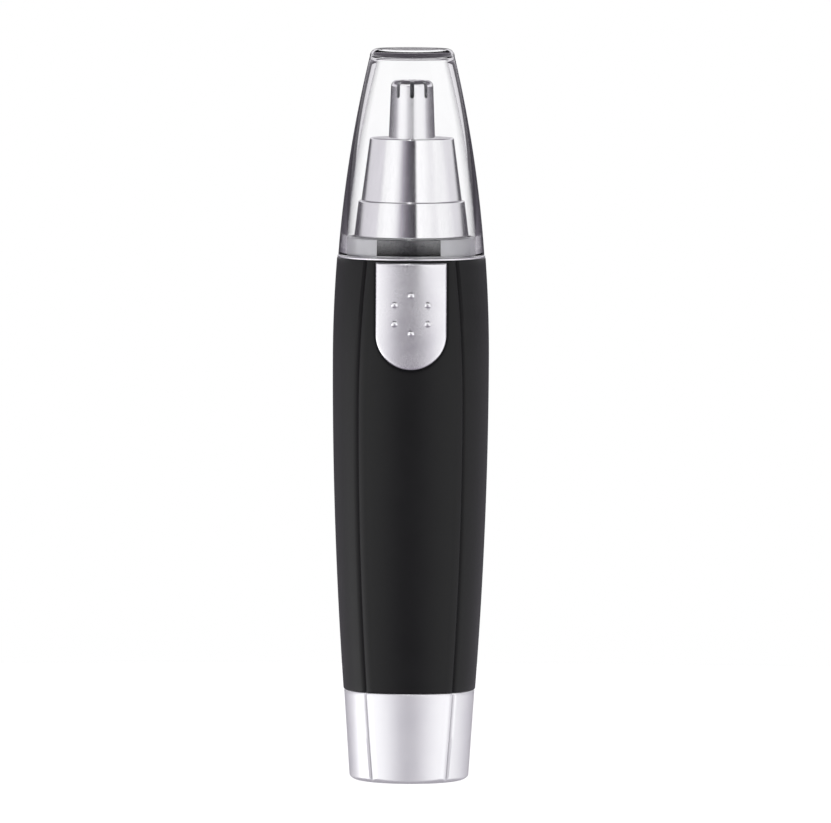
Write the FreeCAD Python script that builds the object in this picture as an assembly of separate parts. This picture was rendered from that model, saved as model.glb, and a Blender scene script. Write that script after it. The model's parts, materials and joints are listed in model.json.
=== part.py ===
"""Battery nose hair trimmer: a long rounded body that stands on its battery door.

Millimetres, +Z up along the trimmer's long axis, origin at the centre of the bottom face.
The switch faces -Y. Every piece is built where it lies with the trimmer closed and switched off.
"""

import FreeCAD, Part
import math
import os

from FreeCAD import Vector

# Bought-in cell: one AA
CELL_RADIUS = 7.2
CELL_LENGTH = 50.5
CELL_JACKET = 0.2
CELL_NUB_RADIUS = 2.75
CELL_NUB_HEIGHT = 1.5

# Bought-in motor: a small can motor with two flats
MOTOR_RADIUS = 10.0
MOTOR_HALF_FLAT = 7.5
MOTOR_CAN_LENGTH = 25.1
MOTOR_CAN_WALL = 0.6
MOTOR_END_CAP = 2.6
MOTOR_BOSS_RADIUS = 3.05
MOTOR_BOSS_HEIGHT = 1.6
SHAFT_RADIUS = 1.0
BUSH_RADIUS = 2.5
BUSH_CLEARANCE = 0.03
MAGNET_HALF_ANGLE = 38.0
MAGNET_GAP = 0.1
ARMATURE_GAP = 0.4
COMMUTATOR_RADIUS = 2.3
TERMINAL_X = 4.4
TERMINAL_THICKNESS = 0.4

# Body shell
SHELL_WALL = 1.7
SHELL_PEAK_Z = 78.0
SHELL_PEAK_RISE = 0.72
SHELL_END_MARGIN = 1.0
PANEL_PEAK_Z = 69.0
PANEL_PEAK_HALF_WIDTH = 9.65
PANEL_FOOT_HALF_WIDTH = 6.65
PANEL_CROWN_HALF_WIDTH = 8.15
PANEL_PROUD = 0.42
PANEL_FLATNESS = 1.18
PANEL_STEP_RUN = 0.4
CREASE_DEPTH = 0.28
CREASE_WIDTH = 0.4

# Battery door
DOOR_HEIGHT = 16.8
DOOR_FLOOR = 1.4
DOOR_STEP = 0.12
DOOR_TAPER = 0.066
DOOR_FOOT_ROUNDING = 1.9
INSERT_FLOOR = 1.0
INSERT_WALL = 1.4
INSERT_LIP = 0.4
SPIGOT_LENGTH = 5.8
SPIGOT_GAP = 0.15
CONTACT_ROOM = 1.7
CONTACT_THICKNESS = 0.3
CELL_SPRING_HEIGHT = 3.4
CELL_SPRING_WIRE = 0.3
SEAL_GROOVE_DEPTH = 0.7
SEAL_HEIGHT = 1.0
SEAL_CLEARANCE = 0.07

# Springs
COIL_STEPS = 8
CELL_SPRING_TURNS = 3
CUTTER_SPRING_TURNS = 4

# Bayonets of the door and of the head
LUG_HEIGHT = 1.3
LUG_REACH = 0.7
LUG_HALF_ANGLE = 12.0
LUG_GAP = 0.15
LUG_TURN = 30.0
LUG_LEDGE = 3.35
HEAD_LUG_START = 0.3

# Inner frame
FRAME_GAP = 0.1
FRAME_WALL = 1.3
FRAME_BULKHEAD = 1.4
FRAME_TOP_PLATE = 1.6
FRAME_FLANGE = 1.25
FRAME_BED_DEPTH = 1.9
SLEEVE_GAP = 0.35
SLEEVE_WALL = 1.15
TERMINAL_ROOM = 4.6
STRIP_WIDTH = 2.4
STRIP_OFFSET = 1.2

# Neck
COLLAR_FRAME_GAP = 0.45
COLLAR_SHELL_GAP = 0.13
COLLAR_WALL = 1.8
COLLAR_WEB = 1.2
COLLAR_FLANGE = 0.45
COLLAR_FLANGE_INSET = 0.08
COLLAR_BAND_HEIGHT = 3.35
TAB_THICKNESS = 0.6
TAB_HALF_ANGLE = 29.0
TAB_MIDDLE = -92.6
TAB_FOOT = 0.25
TAB_HEAD = 0.1
SCREW_RADIUS = 0.95
SCREW_HEAD_RADIUS = 1.8
SCREW_HEAD_HEIGHT = 1.2
SCREW_Y = 6.0
KEY_X = 6.8
KEY_HALF_THICKNESS = 0.8
KEY_HALF_WIDTH = 1.6
KEY_CLEARANCE = 0.15

# Head
HEAD_SPIGOT_GAP = 0.15
HEAD_SPIGOT_WALL = 1.2
HEAD_SCREW_GAP = 0.8
HEAD_SEAT_GAP = 0.1
BASE_RING_HEIGHT = 6.5
BASE_RING_FLARE = 0.65
BASE_RING_TAPER = 0.8
CONE_STEP = 0.5
CONE_HEIGHT = 11.6
CONE_TAPER = 1.55
CONE_WALL = 1.0
CONE_SPIGOT = 1.4
CARRIER_PLATE = 1.2
CARRIER_CLEARANCE = 0.1
CARRIER_NECK_WALL = 0.9
CLIP_THICKNESS = 0.6
CLIP_GROOVE_DEPTH = 0.4
CLIP_REACH = 0.6
CLIP_HALF_GAP = 20.0
GUARD_BASE_RADIUS = 4.25
GUARD_TIP_RADIUS = 3.85
GUARD_HEIGHT = 10.6
GUARD_WALL = 0.35
GUARD_ROUNDING = 1.2
GUARD_FLANGE_REACH = 1.4
GUARD_SLOTS = 9
GUARD_SLOT_WIDTH = 0.75
GUARD_SLOT_DEPTH = 3.2
GUARD_SLOT_INNER_RADIUS = 1.5

# Drive from motor to cutter
COUPLING_RADIUS = 3.0
COUPLING_HEIGHT = 5.6
COUPLING_FORK = 2.8
TONGUE_HALF_WIDTH = 1.0
TONGUE_CLEARANCE = 0.1
SPINDLE_RADIUS = 1.7
SPINDLE_CLEARANCE = 0.05
CUTTER_WINGS = 4
CUTTER_WING_THICKNESS = 0.5
CUTTER_WING_HEIGHT = 5.4
CUTTER_CLEARANCE = 0.12
CUTTER_SPRING_WIRE = 0.3

# Protective cap
CAP_FIT = 0.1
CAP_RIM_WALL = 1.5
CAP_WALL = 1.2
CAP_TOP_WALL = 1.6
CAP_HEAD_ROOM = 4.2
CAP_TIP_RADIUS = 7.8
CAP_BOW = 0.75
CAP_ROUNDING = 1.35

# Switch
SWITCH_TRAVEL = 3.0
SWITCH_GAP = 0.15
BUTTON_THICKNESS = 1.1
BUTTON_HALF_WIDTH = 6.5
BUTTON_LENGTH = 19.6
BUTTON_TOP_GAP = 0.35
TRAY_THICKNESS = 0.5
TRAY_BORDER = 0.45
TRAY_GLUE = 0.05
GRIP_DOTS = 6
GRIP_DOT_RADIUS = 0.62
GRIP_DOT_HEIGHT = 0.3
GRIP_CIRCLE_RADIUS = 3.48
STEM_HALF_WIDTH = 1.8
STEM_HALF_LENGTH = 2.2
SLOT_CLEARANCE = 0.2
SLIDER_HALF_WIDTH = 3.6
SLIDER_HALF_LENGTH = 4.5
SLIDER_THICKNESS = 0.9
SLIDER_TOP_ROOM = 0.7
CONTACT_BUMP = 0.27

# Heights, from the floor up
cell_bottom = DOOR_FLOOR + INSERT_FLOOR + CONTACT_THICKNESS + CELL_SPRING_HEIGHT
cell_top = cell_bottom + CELL_LENGTH
bulkhead_bottom = cell_top + CONTACT_THICKNESS
bulkhead_top = bulkhead_bottom + FRAME_BULKHEAD
end_cap_bottom = bulkhead_top + TERMINAL_ROOM
can_bottom = end_cap_bottom + MOTOR_END_CAP
can_top = can_bottom + MOTOR_CAN_LENGTH
plate_bottom = can_top + FRAME_GAP
plate_top = plate_bottom + FRAME_TOP_PLATE
web_bottom = plate_top + FRAME_GAP
web_top = web_bottom + COLLAR_WEB
head_bottom = web_top + SCREW_HEAD_HEIGHT + HEAD_SCREW_GAP
shell_top = head_bottom + SHELL_END_MARGIN
rim_z = shell_top + COLLAR_FLANGE
band_top = rim_z + COLLAR_BAND_HEIGHT
ring_bottom = band_top + HEAD_SEAT_GAP
ring_top = ring_bottom + BASE_RING_HEIGHT
cone_top = ring_top + CONE_HEIGHT
guard_top = cone_top + GUARD_HEIGHT
cap_ceiling = guard_top + CAP_HEAD_ROOM
cap_top = cap_ceiling + CAP_TOP_WALL
spigot_top = DOOR_HEIGHT + SPIGOT_LENGTH
sleeve_bottom = spigot_top + 2 * CONTACT_THICKNESS + FRAME_GAP

# Radii, from the cell and the motor outwards
insert_bore = CELL_RADIUS + CONTACT_ROOM
spigot_radius = insert_bore + INSERT_WALL
insert_radius = spigot_radius - INSERT_LIP
shell_foot_bore = spigot_radius + SPIGOT_GAP
shell_foot_radius = shell_foot_bore + SHELL_WALL
sleeve_bore = CELL_RADIUS + SLEEVE_GAP
sleeve_radius = sleeve_bore + SLEEVE_WALL
frame_radius = MOTOR_RADIUS + FRAME_GAP + FRAME_WALL
bed_y = MOTOR_HALF_FLAT + FRAME_GAP + FRAME_BED_DEPTH
collar_radius = frame_radius + COLLAR_FRAME_GAP
shell_crown_bore = collar_radius + COLLAR_SHELL_GAP
shell_crown_radius = shell_crown_bore + SHELL_WALL
shell_peak_radius = shell_crown_radius + SHELL_PEAK_RISE
collar_bore = collar_radius - COLLAR_WALL
head_spigot_radius = collar_bore - HEAD_SPIGOT_GAP
head_bore = head_spigot_radius - HEAD_SPIGOT_WALL
carrier_radius = head_bore - CARRIER_CLEARANCE
ring_foot_radius = head_spigot_radius + BASE_RING_FLARE
ring_crown_radius = ring_foot_radius - BASE_RING_TAPER
cone_foot_radius = ring_crown_radius - CONE_STEP
cone_tip_radius = cone_foot_radius - CONE_TAPER
cap_land_radius = collar_radius + CAP_FIT
cap_rim_radius = cap_land_radius + CAP_RIM_WALL
guard_tip_bore = GUARD_TIP_RADIUS - GUARD_WALL
magnet_radius = MOTOR_RADIUS - MOTOR_CAN_WALL - MAGNET_GAP
magnet_bore = MOTOR_HALF_FLAT - MOTOR_CAN_WALL
armature_radius = magnet_bore - ARMATURE_GAP

# Places that several pieces share
door_lug_bottom = DOOR_HEIGHT + LUG_LEDGE + LUG_GAP
head_lug_bottom = head_bottom + HEAD_LUG_START
shell_foot_bore_top = sleeve_bottom + FRAME_FLANGE + 0.2
negative_leg_z = bulkhead_top + 1.5
motor_leg_z = negative_leg_z + CONTACT_THICKNESS + 0.2
button_top = shell_top - BUTTON_TOP_GAP
grip_z = button_top - BUTTON_LENGTH / 2 + 0.4
slider_top = plate_bottom - SLIDER_TOP_ROOM
slider_z = slider_top - SLIDER_HALF_LENGTH
strip_face_y = bed_y + CONTACT_THICKNESS
contact_inner_y = strip_face_y + CONTACT_BUMP + 0.03
slider_inner_y = contact_inner_y + CONTACT_THICKNESS
slider_outer_y = slider_inner_y + SLIDER_THICKNESS
coupling_bottom = web_top + 0.3
coupling_top = coupling_bottom + COUPLING_HEIGHT
fork_bottom = coupling_top - COUPLING_FORK
clip_bottom = head_bottom + 1.1
carrier_plate_bottom = clip_bottom + CLIP_THICKNESS + CARRIER_CLEARANCE
carrier_cup_top = coupling_top + 1.1
spring_seat = carrier_cup_top + 1.0
spring_collar = spring_seat + 6.4
cutter_top = guard_top - GUARD_WALL - CUTTER_CLEARANCE
cutter_bottom = cutter_top - CUTTER_WING_HEIGHT


# Simple solids about the long axis

def disc(radius, z0, z1):
    return Part.makeCylinder(radius, z1 - z0, Vector(0, 0, z0))


def ring(outer, inner, z0, z1):
    return disc(outer, z0, z1).cut(disc(inner, z0, z1))


def taper(r0, r1, z0, z1):
    return Part.makeCone(r0, r1, z1 - z0, Vector(0, 0, z0))


def sector(outer, inner, z0, z1, middle, half_angle):
    """A piece of a ring, half_angle degrees each side of middle."""
    wedge = Part.makeCylinder(outer, z1 - z0, Vector(0, 0, z0), Vector(0, 0, 1), 2 * half_angle)
    wedge.rotate(Vector(0, 0, 0), Vector(0, 0, 1), middle - half_angle)
    return wedge.cut(disc(inner, z0, z1))


def block(x0, x1, y0, y1, z0, z1):
    return Part.makeBox(x1 - x0, y1 - y0, z1 - z0, Vector(x0, y0, z0))


def rod(radius, x, y, z0, z1):
    return Part.makeCylinder(radius, z1 - z0, Vector(x, y, z0))


def point(radius, z):
    return Vector(radius, 0, z)


def line(a, b):
    return Part.LineSegment(a, b).toShape()


def arc(a, middle, b):
    return Part.Arc(a, middle, b).toShape()


def spun(edges):
    """The solid that a closed outline of (radius, height) edges sweeps round the long axis."""
    return Part.Face(Part.Wire(edges)).revolve(Vector(0, 0, 0), Vector(0, 0, 1), 360)


def fused(pieces):
    solid = pieces[0]
    for piece in pieces[1:]:
        solid = solid.fuse(piece)
    return solid.removeSplitter()


def polar(count, make, first=0.0):
    """count copies of what make() gives, evenly turned about the long axis."""
    made = []
    for number in range(count):
        piece = make()
        piece.rotate(Vector(0, 0, 0), Vector(0, 0, 1), first + 360.0 * number / count)
        made.append(piece)
    return made


def coil(radius, wire, z0, z1, turns):
    """A round-wire spring that fills the height between its two seats, lofted through its sections."""
    low = z0 + wire
    rise = z1 - wire - low
    slope = math.atan2(rise / turns, 2 * math.pi * radius)
    steps = COIL_STEPS * turns
    sections = []
    for number in range(steps + 1):
        angle = 2 * math.pi * number / COIL_STEPS
        centre = Vector(radius * math.cos(angle), radius * math.sin(angle), low + rise * number / steps)
        along = Vector(
            -math.sin(angle) * math.cos(slope), math.cos(angle) * math.cos(slope), math.sin(slope),
        )
        sections.append(Part.Wire(Part.makeCircle(wire, centre, along)))
    return Part.makeLoft(sections, True, False)


def bayonet_track(bore, foot, mouth_z, lug_z, turn):
    """Two L-shaped pockets: each runs in from the mouth past the ledge, then round by turn."""
    depth = bore + LUG_REACH + LUG_GAP
    half = LUG_HALF_ANGLE + math.degrees(LUG_GAP / bore)
    low = lug_z - LUG_GAP
    high = lug_z + LUG_HEIGHT + LUG_GAP
    pieces = []
    for middle in (0.0, 180.0):
        way_in = sector(depth, foot, min(low, mouth_z), max(high, mouth_z), middle, half)
        way_round = sector(depth, foot, low, high, middle + turn / 2, half + abs(turn) / 2)
        pieces.append(way_in.fuse(way_round))
    return pieces


def bayonet_lugs(radius, lug_z):
    lugs = []
    for middle in (0.0, 180.0):
        lugs.append(sector(
            radius + LUG_REACH, radius - 0.3, lug_z, lug_z + LUG_HEIGHT, middle, LUG_HALF_ANGLE,
        ))
    return lugs


# Outer form of the body: round sides, with a flatter panel standing proud at front and back

def bulge(z, low, peak, high):
    """A value that falls away from its peak by a parabola on each side; each end is (z, value)."""
    end = low if z < peak[0] else high
    share = (z - peak[0]) / (end[0] - peak[0])
    return peak[1] - (peak[1] - end[1]) * share ** 2


def side_radius(z):
    return bulge(
        z,
        (DOOR_HEIGHT, shell_foot_radius),
        (SHELL_PEAK_Z, shell_peak_radius),
        (shell_top, shell_crown_radius),
    )


def door_radius(z):
    return shell_foot_radius - DOOR_STEP - DOOR_TAPER * (DOOR_HEIGHT - z)


def panel_half_width(z):
    return bulge(
        z,
        (0.0, PANEL_FOOT_HALF_WIDTH),
        (PANEL_PEAK_Z, PANEL_PEAK_HALF_WIDTH),
        (shell_top, PANEL_CROWN_HALF_WIDTH),
    )


def panel_front(radius, half_width):
    """How far the middle of a panel stands from the axis, and the radius its arc has."""
    arc_radius = PANEL_FLATNESS * radius
    edge_x = half_width - PANEL_STEP_RUN
    edge_y = math.sqrt(radius ** 2 - half_width ** 2) + PANEL_PROUD
    sag = arc_radius - math.sqrt(arc_radius ** 2 - edge_x ** 2)
    return edge_y + sag, arc_radius


def body_section(z, radius):
    """The closed outline of the body at one height."""
    width = panel_half_width(z)
    crease_y = math.sqrt(radius ** 2 - width ** 2)
    front_y = panel_front(radius, width)[0]
    edge = (width - PANEL_STEP_RUN, crease_y + PANEL_PROUD)
    turn = (width - 0.3 * PANEL_STEP_RUN, crease_y + 0.7 * PANEL_PROUD)
    groove = (width, crease_y - CREASE_DEPTH)
    side_x = width + CREASE_WIDTH
    side = (side_x, math.sqrt(radius ** 2 - side_x ** 2))

    def at(spot, sign_x, sign_y):
        return Vector(sign_x * spot[0], sign_y * spot[1], z)

    edges = []
    for sign in (1, -1):
        edges.append(arc(at(edge, -sign, -sign), Vector(0, -sign * front_y, z), at(edge, sign, -sign)))
        edges.append(arc(at(edge, sign, -sign), at(turn, sign, -sign), at(groove, sign, -sign)))
        edges.append(line(at(groove, sign, -sign), at(side, sign, -sign)))
        edges.append(arc(at(side, sign, -sign), Vector(sign * radius, 0, z), at(side, sign, sign)))
        edges.append(line(at(side, sign, sign), at(groove, sign, sign)))
        edges.append(arc(at(groove, sign, sign), at(turn, sign, sign), at(edge, sign, sign)))
    return Part.Wire(edges)


def body_form(z0, z1, radius_at, sections):
    """The solid outer form between two heights."""
    wires = []
    for number in range(sections):
        z = z0 + (z1 - z0) * number / (sections - 1)
        wires.append(body_section(z, radius_at(z)))
    return Part.makeLoft(wires, True, False)


def panel_block(offset, shift):
    """A block wider than the button, under the front panel's surface moved out and up."""
    half = BUTTON_HALF_WIDTH + TRAY_BORDER + 0.5
    wires = []
    for number in range(5):
        z = button_top + 1.0 - (BUTTON_LENGTH + 2.0) * number / 4
        radius = side_radius(z - shift)
        front_y, arc_radius = panel_front(radius, panel_half_width(z - shift))
        arc_radius = arc_radius + offset
        front_y = front_y + offset
        edge_y = front_y - arc_radius + math.sqrt(arc_radius ** 2 - half ** 2)
        left = Vector(-half, -edge_y, z)
        right = Vector(half, -edge_y, z)
        back_left = Vector(-half, -bed_y, z)
        back_right = Vector(half, -bed_y, z)
        edges = [
            arc(left, Vector(0, -front_y, z), right),
            line(right, back_right),
            line(back_right, back_left),
            line(back_left, left),
        ]
        wires.append(Part.Wire(edges))
    return Part.makeLoft(wires, True, False)


# Casing

def body_shell():
    middle = []
    for number in range(7):
        z = shell_foot_bore_top + (web_bottom - 1.5 - shell_foot_bore_top) * number / 6
        bore = side_radius(z) - SHELL_WALL
        if number == 0:
            bore = shell_foot_bore
        if number == 6:
            bore = shell_crown_bore
        middle.append(point(bore, z))
    curve = Part.BSplineCurve()
    curve.interpolate(middle)
    foot = point(shell_foot_bore, DOOR_HEIGHT - 1)
    head = point(shell_crown_bore, shell_top + 1)
    hollow = spun([
        line(point(0, DOOR_HEIGHT - 1), foot),
        line(foot, middle[0]),
        curve.toShape(),
        line(middle[-1], head),
        line(head, point(0, shell_top + 1)),
        line(point(0, shell_top + 1), point(0, DOOR_HEIGHT - 1)),
    ])
    shell = body_form(DOOR_HEIGHT, shell_top, side_radius, 9).cut(hollow)
    tracks = bayonet_track(
        shell_foot_bore, shell_foot_bore - 1, DOOR_HEIGHT - 1, door_lug_bottom, LUG_TURN,
    )
    for track in tracks:
        shell = shell.cut(track)
    stem_slot = block(
        -STEM_HALF_WIDTH - SLOT_CLEARANCE, STEM_HALF_WIDTH + SLOT_CLEARANCE,
        -2 * shell_peak_radius, -bed_y,
        slider_z - STEM_HALF_LENGTH - SWITCH_TRAVEL - SLOT_CLEARANCE,
        slider_z + STEM_HALF_LENGTH + SLOT_CLEARANCE,
    )
    return shell.cut(stem_slot)


def bottom_cap():
    foot = door_radius(0) + PANEL_PROUD
    flat = foot - DOOR_FOOT_ROUNDING
    bend = foot - DOOR_FOOT_ROUNDING * (1 - math.sin(math.radians(45)))
    bend_z = DOOR_FOOT_ROUNDING * (1 - math.cos(math.radians(45)))
    wide = 2 * shell_foot_radius
    rounded = spun([
        line(point(0, 0), point(flat, 0)),
        arc(point(flat, 0), point(bend, bend_z), point(foot, DOOR_FOOT_ROUNDING)),
        line(point(foot, DOOR_FOOT_ROUNDING), point(wide, DOOR_HEIGHT)),
        line(point(wide, DOOR_HEIGHT), point(0, DOOR_HEIGHT)),
        line(point(0, DOOR_HEIGHT), point(0, 0)),
    ])
    solid = body_form(0, DOOR_HEIGHT, door_radius, 4).common(rounded)
    return solid.cut(disc(insert_radius, DOOR_FLOOR, DOOR_HEIGHT))


def seal_bottom():
    return DOOR_HEIGHT + (LUG_LEDGE - SEAL_HEIGHT) / 2


def cap_insert():
    body = fused([
        disc(insert_radius, DOOR_FLOOR, DOOR_HEIGHT),
        disc(spigot_radius, DOOR_HEIGHT, spigot_top),
        *bayonet_lugs(spigot_radius, door_lug_bottom),
    ])
    body = body.cut(disc(insert_bore, DOOR_FLOOR + INSERT_FLOOR, spigot_top))
    groove_foot = spigot_radius - SEAL_GROOVE_DEPTH
    groove = ring(
        spigot_radius + 1, groove_foot, seal_bottom() - 0.1, seal_bottom() + SEAL_HEIGHT + 0.1,
    )
    return body.cut(groove)


def door_seal():
    seal = ring(
        shell_foot_bore - SEAL_CLEARANCE, spigot_radius - SEAL_GROOVE_DEPTH,
        seal_bottom(), seal_bottom() + SEAL_HEIGHT,
    )
    rims = []
    for edge in seal.Edges:
        outside = abs(edge.BoundBox.XMax - shell_foot_bore + SEAL_CLEARANCE) < 0.01
        if outside and edge.BoundBox.ZLength < 0.01:
            rims.append(edge)
    return seal.makeFillet(0.3 * SEAL_HEIGHT, rims)


# Battery and its contacts

def battery_cell():
    radius = CELL_RADIUS - CELL_JACKET
    shoulder = cell_top - CELL_NUB_HEIGHT
    can = disc(radius, cell_bottom, shoulder)
    ends = [edge for edge in can.Edges if edge.BoundBox.ZLength < 0.01]
    can = can.makeFillet(0.5, ends)
    return can.fuse(disc(CELL_NUB_RADIUS, shoulder - 0.5, cell_top)).removeSplitter()


def battery_jacket():
    shoulder = cell_top - CELL_NUB_HEIGHT
    return ring(CELL_RADIUS, CELL_RADIUS - CELL_JACKET, cell_bottom + 0.6, shoulder - 0.6)


def cap_contact():
    floor = DOOR_FLOOR + INSERT_FLOOR
    outer_y = math.sqrt((insert_bore - 0.03) ** 2 - STRIP_WIDTH ** 2 / 4)
    inner_y = outer_y - CONTACT_THICKNESS
    fold_y = spigot_radius - 0.25
    fold_top = spigot_top + CONTACT_THICKNESS
    half = STRIP_WIDTH / 2
    pieces = [disc(outer_y, floor, floor + CONTACT_THICKNESS)]
    for sign in (1, -1):
        low, high = sorted((sign * inner_y, sign * outer_y))
        arm = block(-half, half, low, high, floor, fold_top)
        low, high = sorted((sign * inner_y, sign * fold_y))
        fold = block(-half, half, low, high, spigot_top, fold_top)
        pieces += [arm, fold]
    return fused(pieces)


def battery_spring():
    floor = DOOR_FLOOR + INSERT_FLOOR + CONTACT_THICKNESS
    return coil(0.65 * CELL_RADIUS, CELL_SPRING_WIRE, floor, cell_bottom, CELL_SPRING_TURNS)


def positive_strip():
    """From the cell's nub, out through the sleeve, and up the switch bed."""
    x0 = -STRIP_OFFSET - STRIP_WIDTH
    x1 = -STRIP_OFFSET
    top = slider_z - STEM_HALF_LENGTH - 1.6
    button = disc(CELL_NUB_RADIUS + 1.0, cell_top, bulkhead_bottom)
    arm = block(x0, x1, -strip_face_y, 0, cell_top, bulkhead_bottom)
    riser = block(x0, x1, -strip_face_y, -bed_y, cell_top, top)
    return fused([button, arm, riser])


def motor_lead_strip():
    """Down the switch bed and in to the motor's right-hand terminal."""
    x0 = STRIP_OFFSET
    x1 = STRIP_OFFSET + STRIP_WIDTH
    riser = block(x0, x1, -strip_face_y, -bed_y, motor_leg_z, slider_z + 2.4)
    leg = block(x0, TERMINAL_X, -strip_face_y, 1.0, motor_leg_z, motor_leg_z + CONTACT_THICKNESS)
    return fused([riser, leg])


def negative_strip():
    """From a ring over the door's spigot, up behind the sleeve, and in to the other terminal."""
    z0 = spigot_top + CONTACT_THICKNESS + 0.05
    z1 = z0 + CONTACT_THICKNESS
    y0 = sleeve_radius + 0.05
    y1 = y0 + CONTACT_THICKNESS
    half = STRIP_WIDTH / 2
    foot = ring(shell_foot_bore - 0.25, insert_bore - 0.5, z0, z1)
    riser = block(-half, half, y0, y1, z0, negative_leg_z)
    leg = block(-half, half, -1.0, y1, negative_leg_z, negative_leg_z + CONTACT_THICKNESS)
    reach = block(-TERMINAL_X, half, -1.0, 1.0, negative_leg_z, negative_leg_z + CONTACT_THICKNESS)
    return fused([foot, riser, leg, reach])


# Frame

def motor_outline(clearance, z0, z1):
    """The motor's section, round with two flats, between two heights."""
    half = MOTOR_HALF_FLAT + clearance
    wide = MOTOR_RADIUS + clearance
    return disc(wide, z0, z1).common(block(-wide, wide, -half, half, z0, z1))


def inner_frame():
    half_strip = STRIP_WIDTH / 2
    strip_back_y = sleeve_radius + CONTACT_THICKNESS + 0.15
    body = fused([
        disc(sleeve_radius, sleeve_bottom, bulkhead_bottom),
        disc(shell_foot_bore - FRAME_GAP, sleeve_bottom, sleeve_bottom + FRAME_FLANGE),
        disc(frame_radius, bulkhead_bottom, plate_top),
    ])
    body = body.cut(disc(sleeve_bore, sleeve_bottom, bulkhead_bottom))
    body = body.cut(motor_outline(FRAME_GAP, bulkhead_top, plate_bottom))
    window = 0.8 * MOTOR_RADIUS
    far = 2 * frame_radius
    body = body.cut(block(-window, window, MOTOR_HALF_FLAT, far, bulkhead_top, plate_bottom - 2))
    body = body.cut(block(-far, far, -far, -bed_y, bulkhead_bottom, plate_bottom))
    body = body.cut(disc(MOTOR_BOSS_RADIUS + FRAME_GAP, plate_bottom, plate_top))
    for y in (-SCREW_Y, SCREW_Y):
        body = body.cut(rod(SCREW_RADIUS, 0, y, plate_bottom, plate_top))
    # ways through for the three contact strips
    body = body.cut(block(
        -half_strip - 0.1, half_strip + 0.1, sleeve_radius, strip_back_y,
        sleeve_bottom, bulkhead_top,
    ))
    body = body.cut(block(
        -STRIP_OFFSET - STRIP_WIDTH - 0.1, -STRIP_OFFSET + 0.1,
        -sleeve_radius - 1, 0, cell_top, bulkhead_bottom,
    ))
    return body.cut(block(
        STRIP_OFFSET - 0.1, TERMINAL_X + 0.1, -bed_y - 1, 0,
        motor_leg_z - 0.1, motor_leg_z + CONTACT_THICKNESS + 0.1,
    ))


def motor_pad():
    """Foam between the motor's back and the shell."""
    pad = block(
        -0.6 * MOTOR_RADIUS, 0.6 * MOTOR_RADIUS, MOTOR_HALF_FLAT, 2 * frame_radius,
        can_bottom + 3, can_top - 6,
    )
    return pad.common(disc(shell_crown_bore - FRAME_GAP, can_bottom, can_top))


# Motor

def motor_can():
    boss = disc(MOTOR_BOSS_RADIUS, can_top, can_top + MOTOR_BOSS_HEIGHT)
    can = motor_outline(0, can_bottom, can_top).fuse(boss)
    can = can.cut(motor_outline(-MOTOR_CAN_WALL, can_bottom, can_top - MOTOR_CAN_WALL))
    can = can.cut(disc(BUSH_RADIUS, can_bottom, can_top + MOTOR_BOSS_HEIGHT))
    for y in (-SCREW_Y, SCREW_Y):
        can = can.cut(rod(SCREW_RADIUS, 0, y, can_bottom, can_top))
    return can


def motor_end_cap():
    cap = motor_outline(-0.05, end_cap_bottom, can_bottom)
    cap = cap.cut(disc(BUSH_RADIUS, end_cap_bottom + 0.3, can_bottom))
    cap = cap.cut(disc(SHAFT_RADIUS + 0.3, end_cap_bottom, can_bottom))
    return cap.cut(motor_terminals())


def motor_terminals():
    tabs = []
    for sign in (1, -1):
        x0, x1 = sorted((sign * TERMINAL_X, sign * (TERMINAL_X + TERMINAL_THICKNESS)))
        tabs.append(block(x0, x1, -1.2, 1.2, bulkhead_top + 0.8, can_bottom - 0.8))
    return Part.makeCompound(tabs)


def motor_bushes():
    bore = SHAFT_RADIUS + BUSH_CLEARANCE
    upper = ring(BUSH_RADIUS, bore, can_top - 1.7, can_top + MOTOR_BOSS_HEIGHT - 0.1)
    lower = ring(BUSH_RADIUS, bore, end_cap_bottom + 0.3, can_bottom - 0.2)
    return Part.makeCompound([upper, lower])


def motor_magnets():
    inside = motor_outline(-MOTOR_CAN_WALL - MAGNET_GAP, can_bottom, can_top)
    made = []
    for middle in (0.0, 180.0):
        magnet = sector(
            magnet_radius, magnet_bore, can_bottom + 3.5, can_top - 2.6, middle, MAGNET_HALF_ANGLE,
        )
        made.append(magnet.common(inside))
    return Part.makeCompound(made)


def motor_brushes():
    made = []
    for sign in (1, -1):
        near = COMMUTATOR_RADIUS + 0.06
        x0, x1 = sorted((sign * near, sign * (near + 0.25)))
        leaf = block(x0, x1, -1.0, 1.0, can_bottom, can_bottom + 2.8)
        x0, x1 = sorted((sign * near, sign * (TERMINAL_X + TERMINAL_THICKNESS)))
        made.append(leaf.fuse(block(x0, x1, -1.0, 1.0, can_bottom, can_bottom + 0.25)).removeSplitter())
    return Part.makeCompound(made)


def motor_shaft():
    return disc(SHAFT_RADIUS, end_cap_bottom - 0.2, fork_bottom - 0.3)


stack_bottom = can_bottom + 6.5
stack_top = can_top - 6.5
hub_radius = 2.6


def winding_slot(shrink):
    """The slot between two poles, along +X, or the coil that fills it when shrunk."""
    outer = armature_radius - 1.1 - shrink
    return sector(outer, hub_radius + shrink, stack_bottom - 1.5, stack_top + 1.5, 0, 34.0 - 4 * shrink)


def armature_core():
    core = ring(armature_radius, SHAFT_RADIUS, stack_bottom, stack_top)
    for slot in polar(3, lambda: winding_slot(0)):
        core = core.cut(slot)

    def slot_mouth():
        return block(hub_radius, armature_radius + 1, -0.5, 0.5, stack_bottom, stack_top)

    for mouth in polar(3, slot_mouth):
        core = core.cut(mouth)
    return core


def armature_windings():
    return Part.makeCompound(polar(3, lambda: winding_slot(0.1)))


def commutator():
    def segment():
        return sector(COMMUTATOR_RADIUS, SHAFT_RADIUS, can_bottom + 0.6, stack_bottom - 1.8, 0, 57.0)
    return Part.makeCompound(polar(3, segment))


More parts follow.
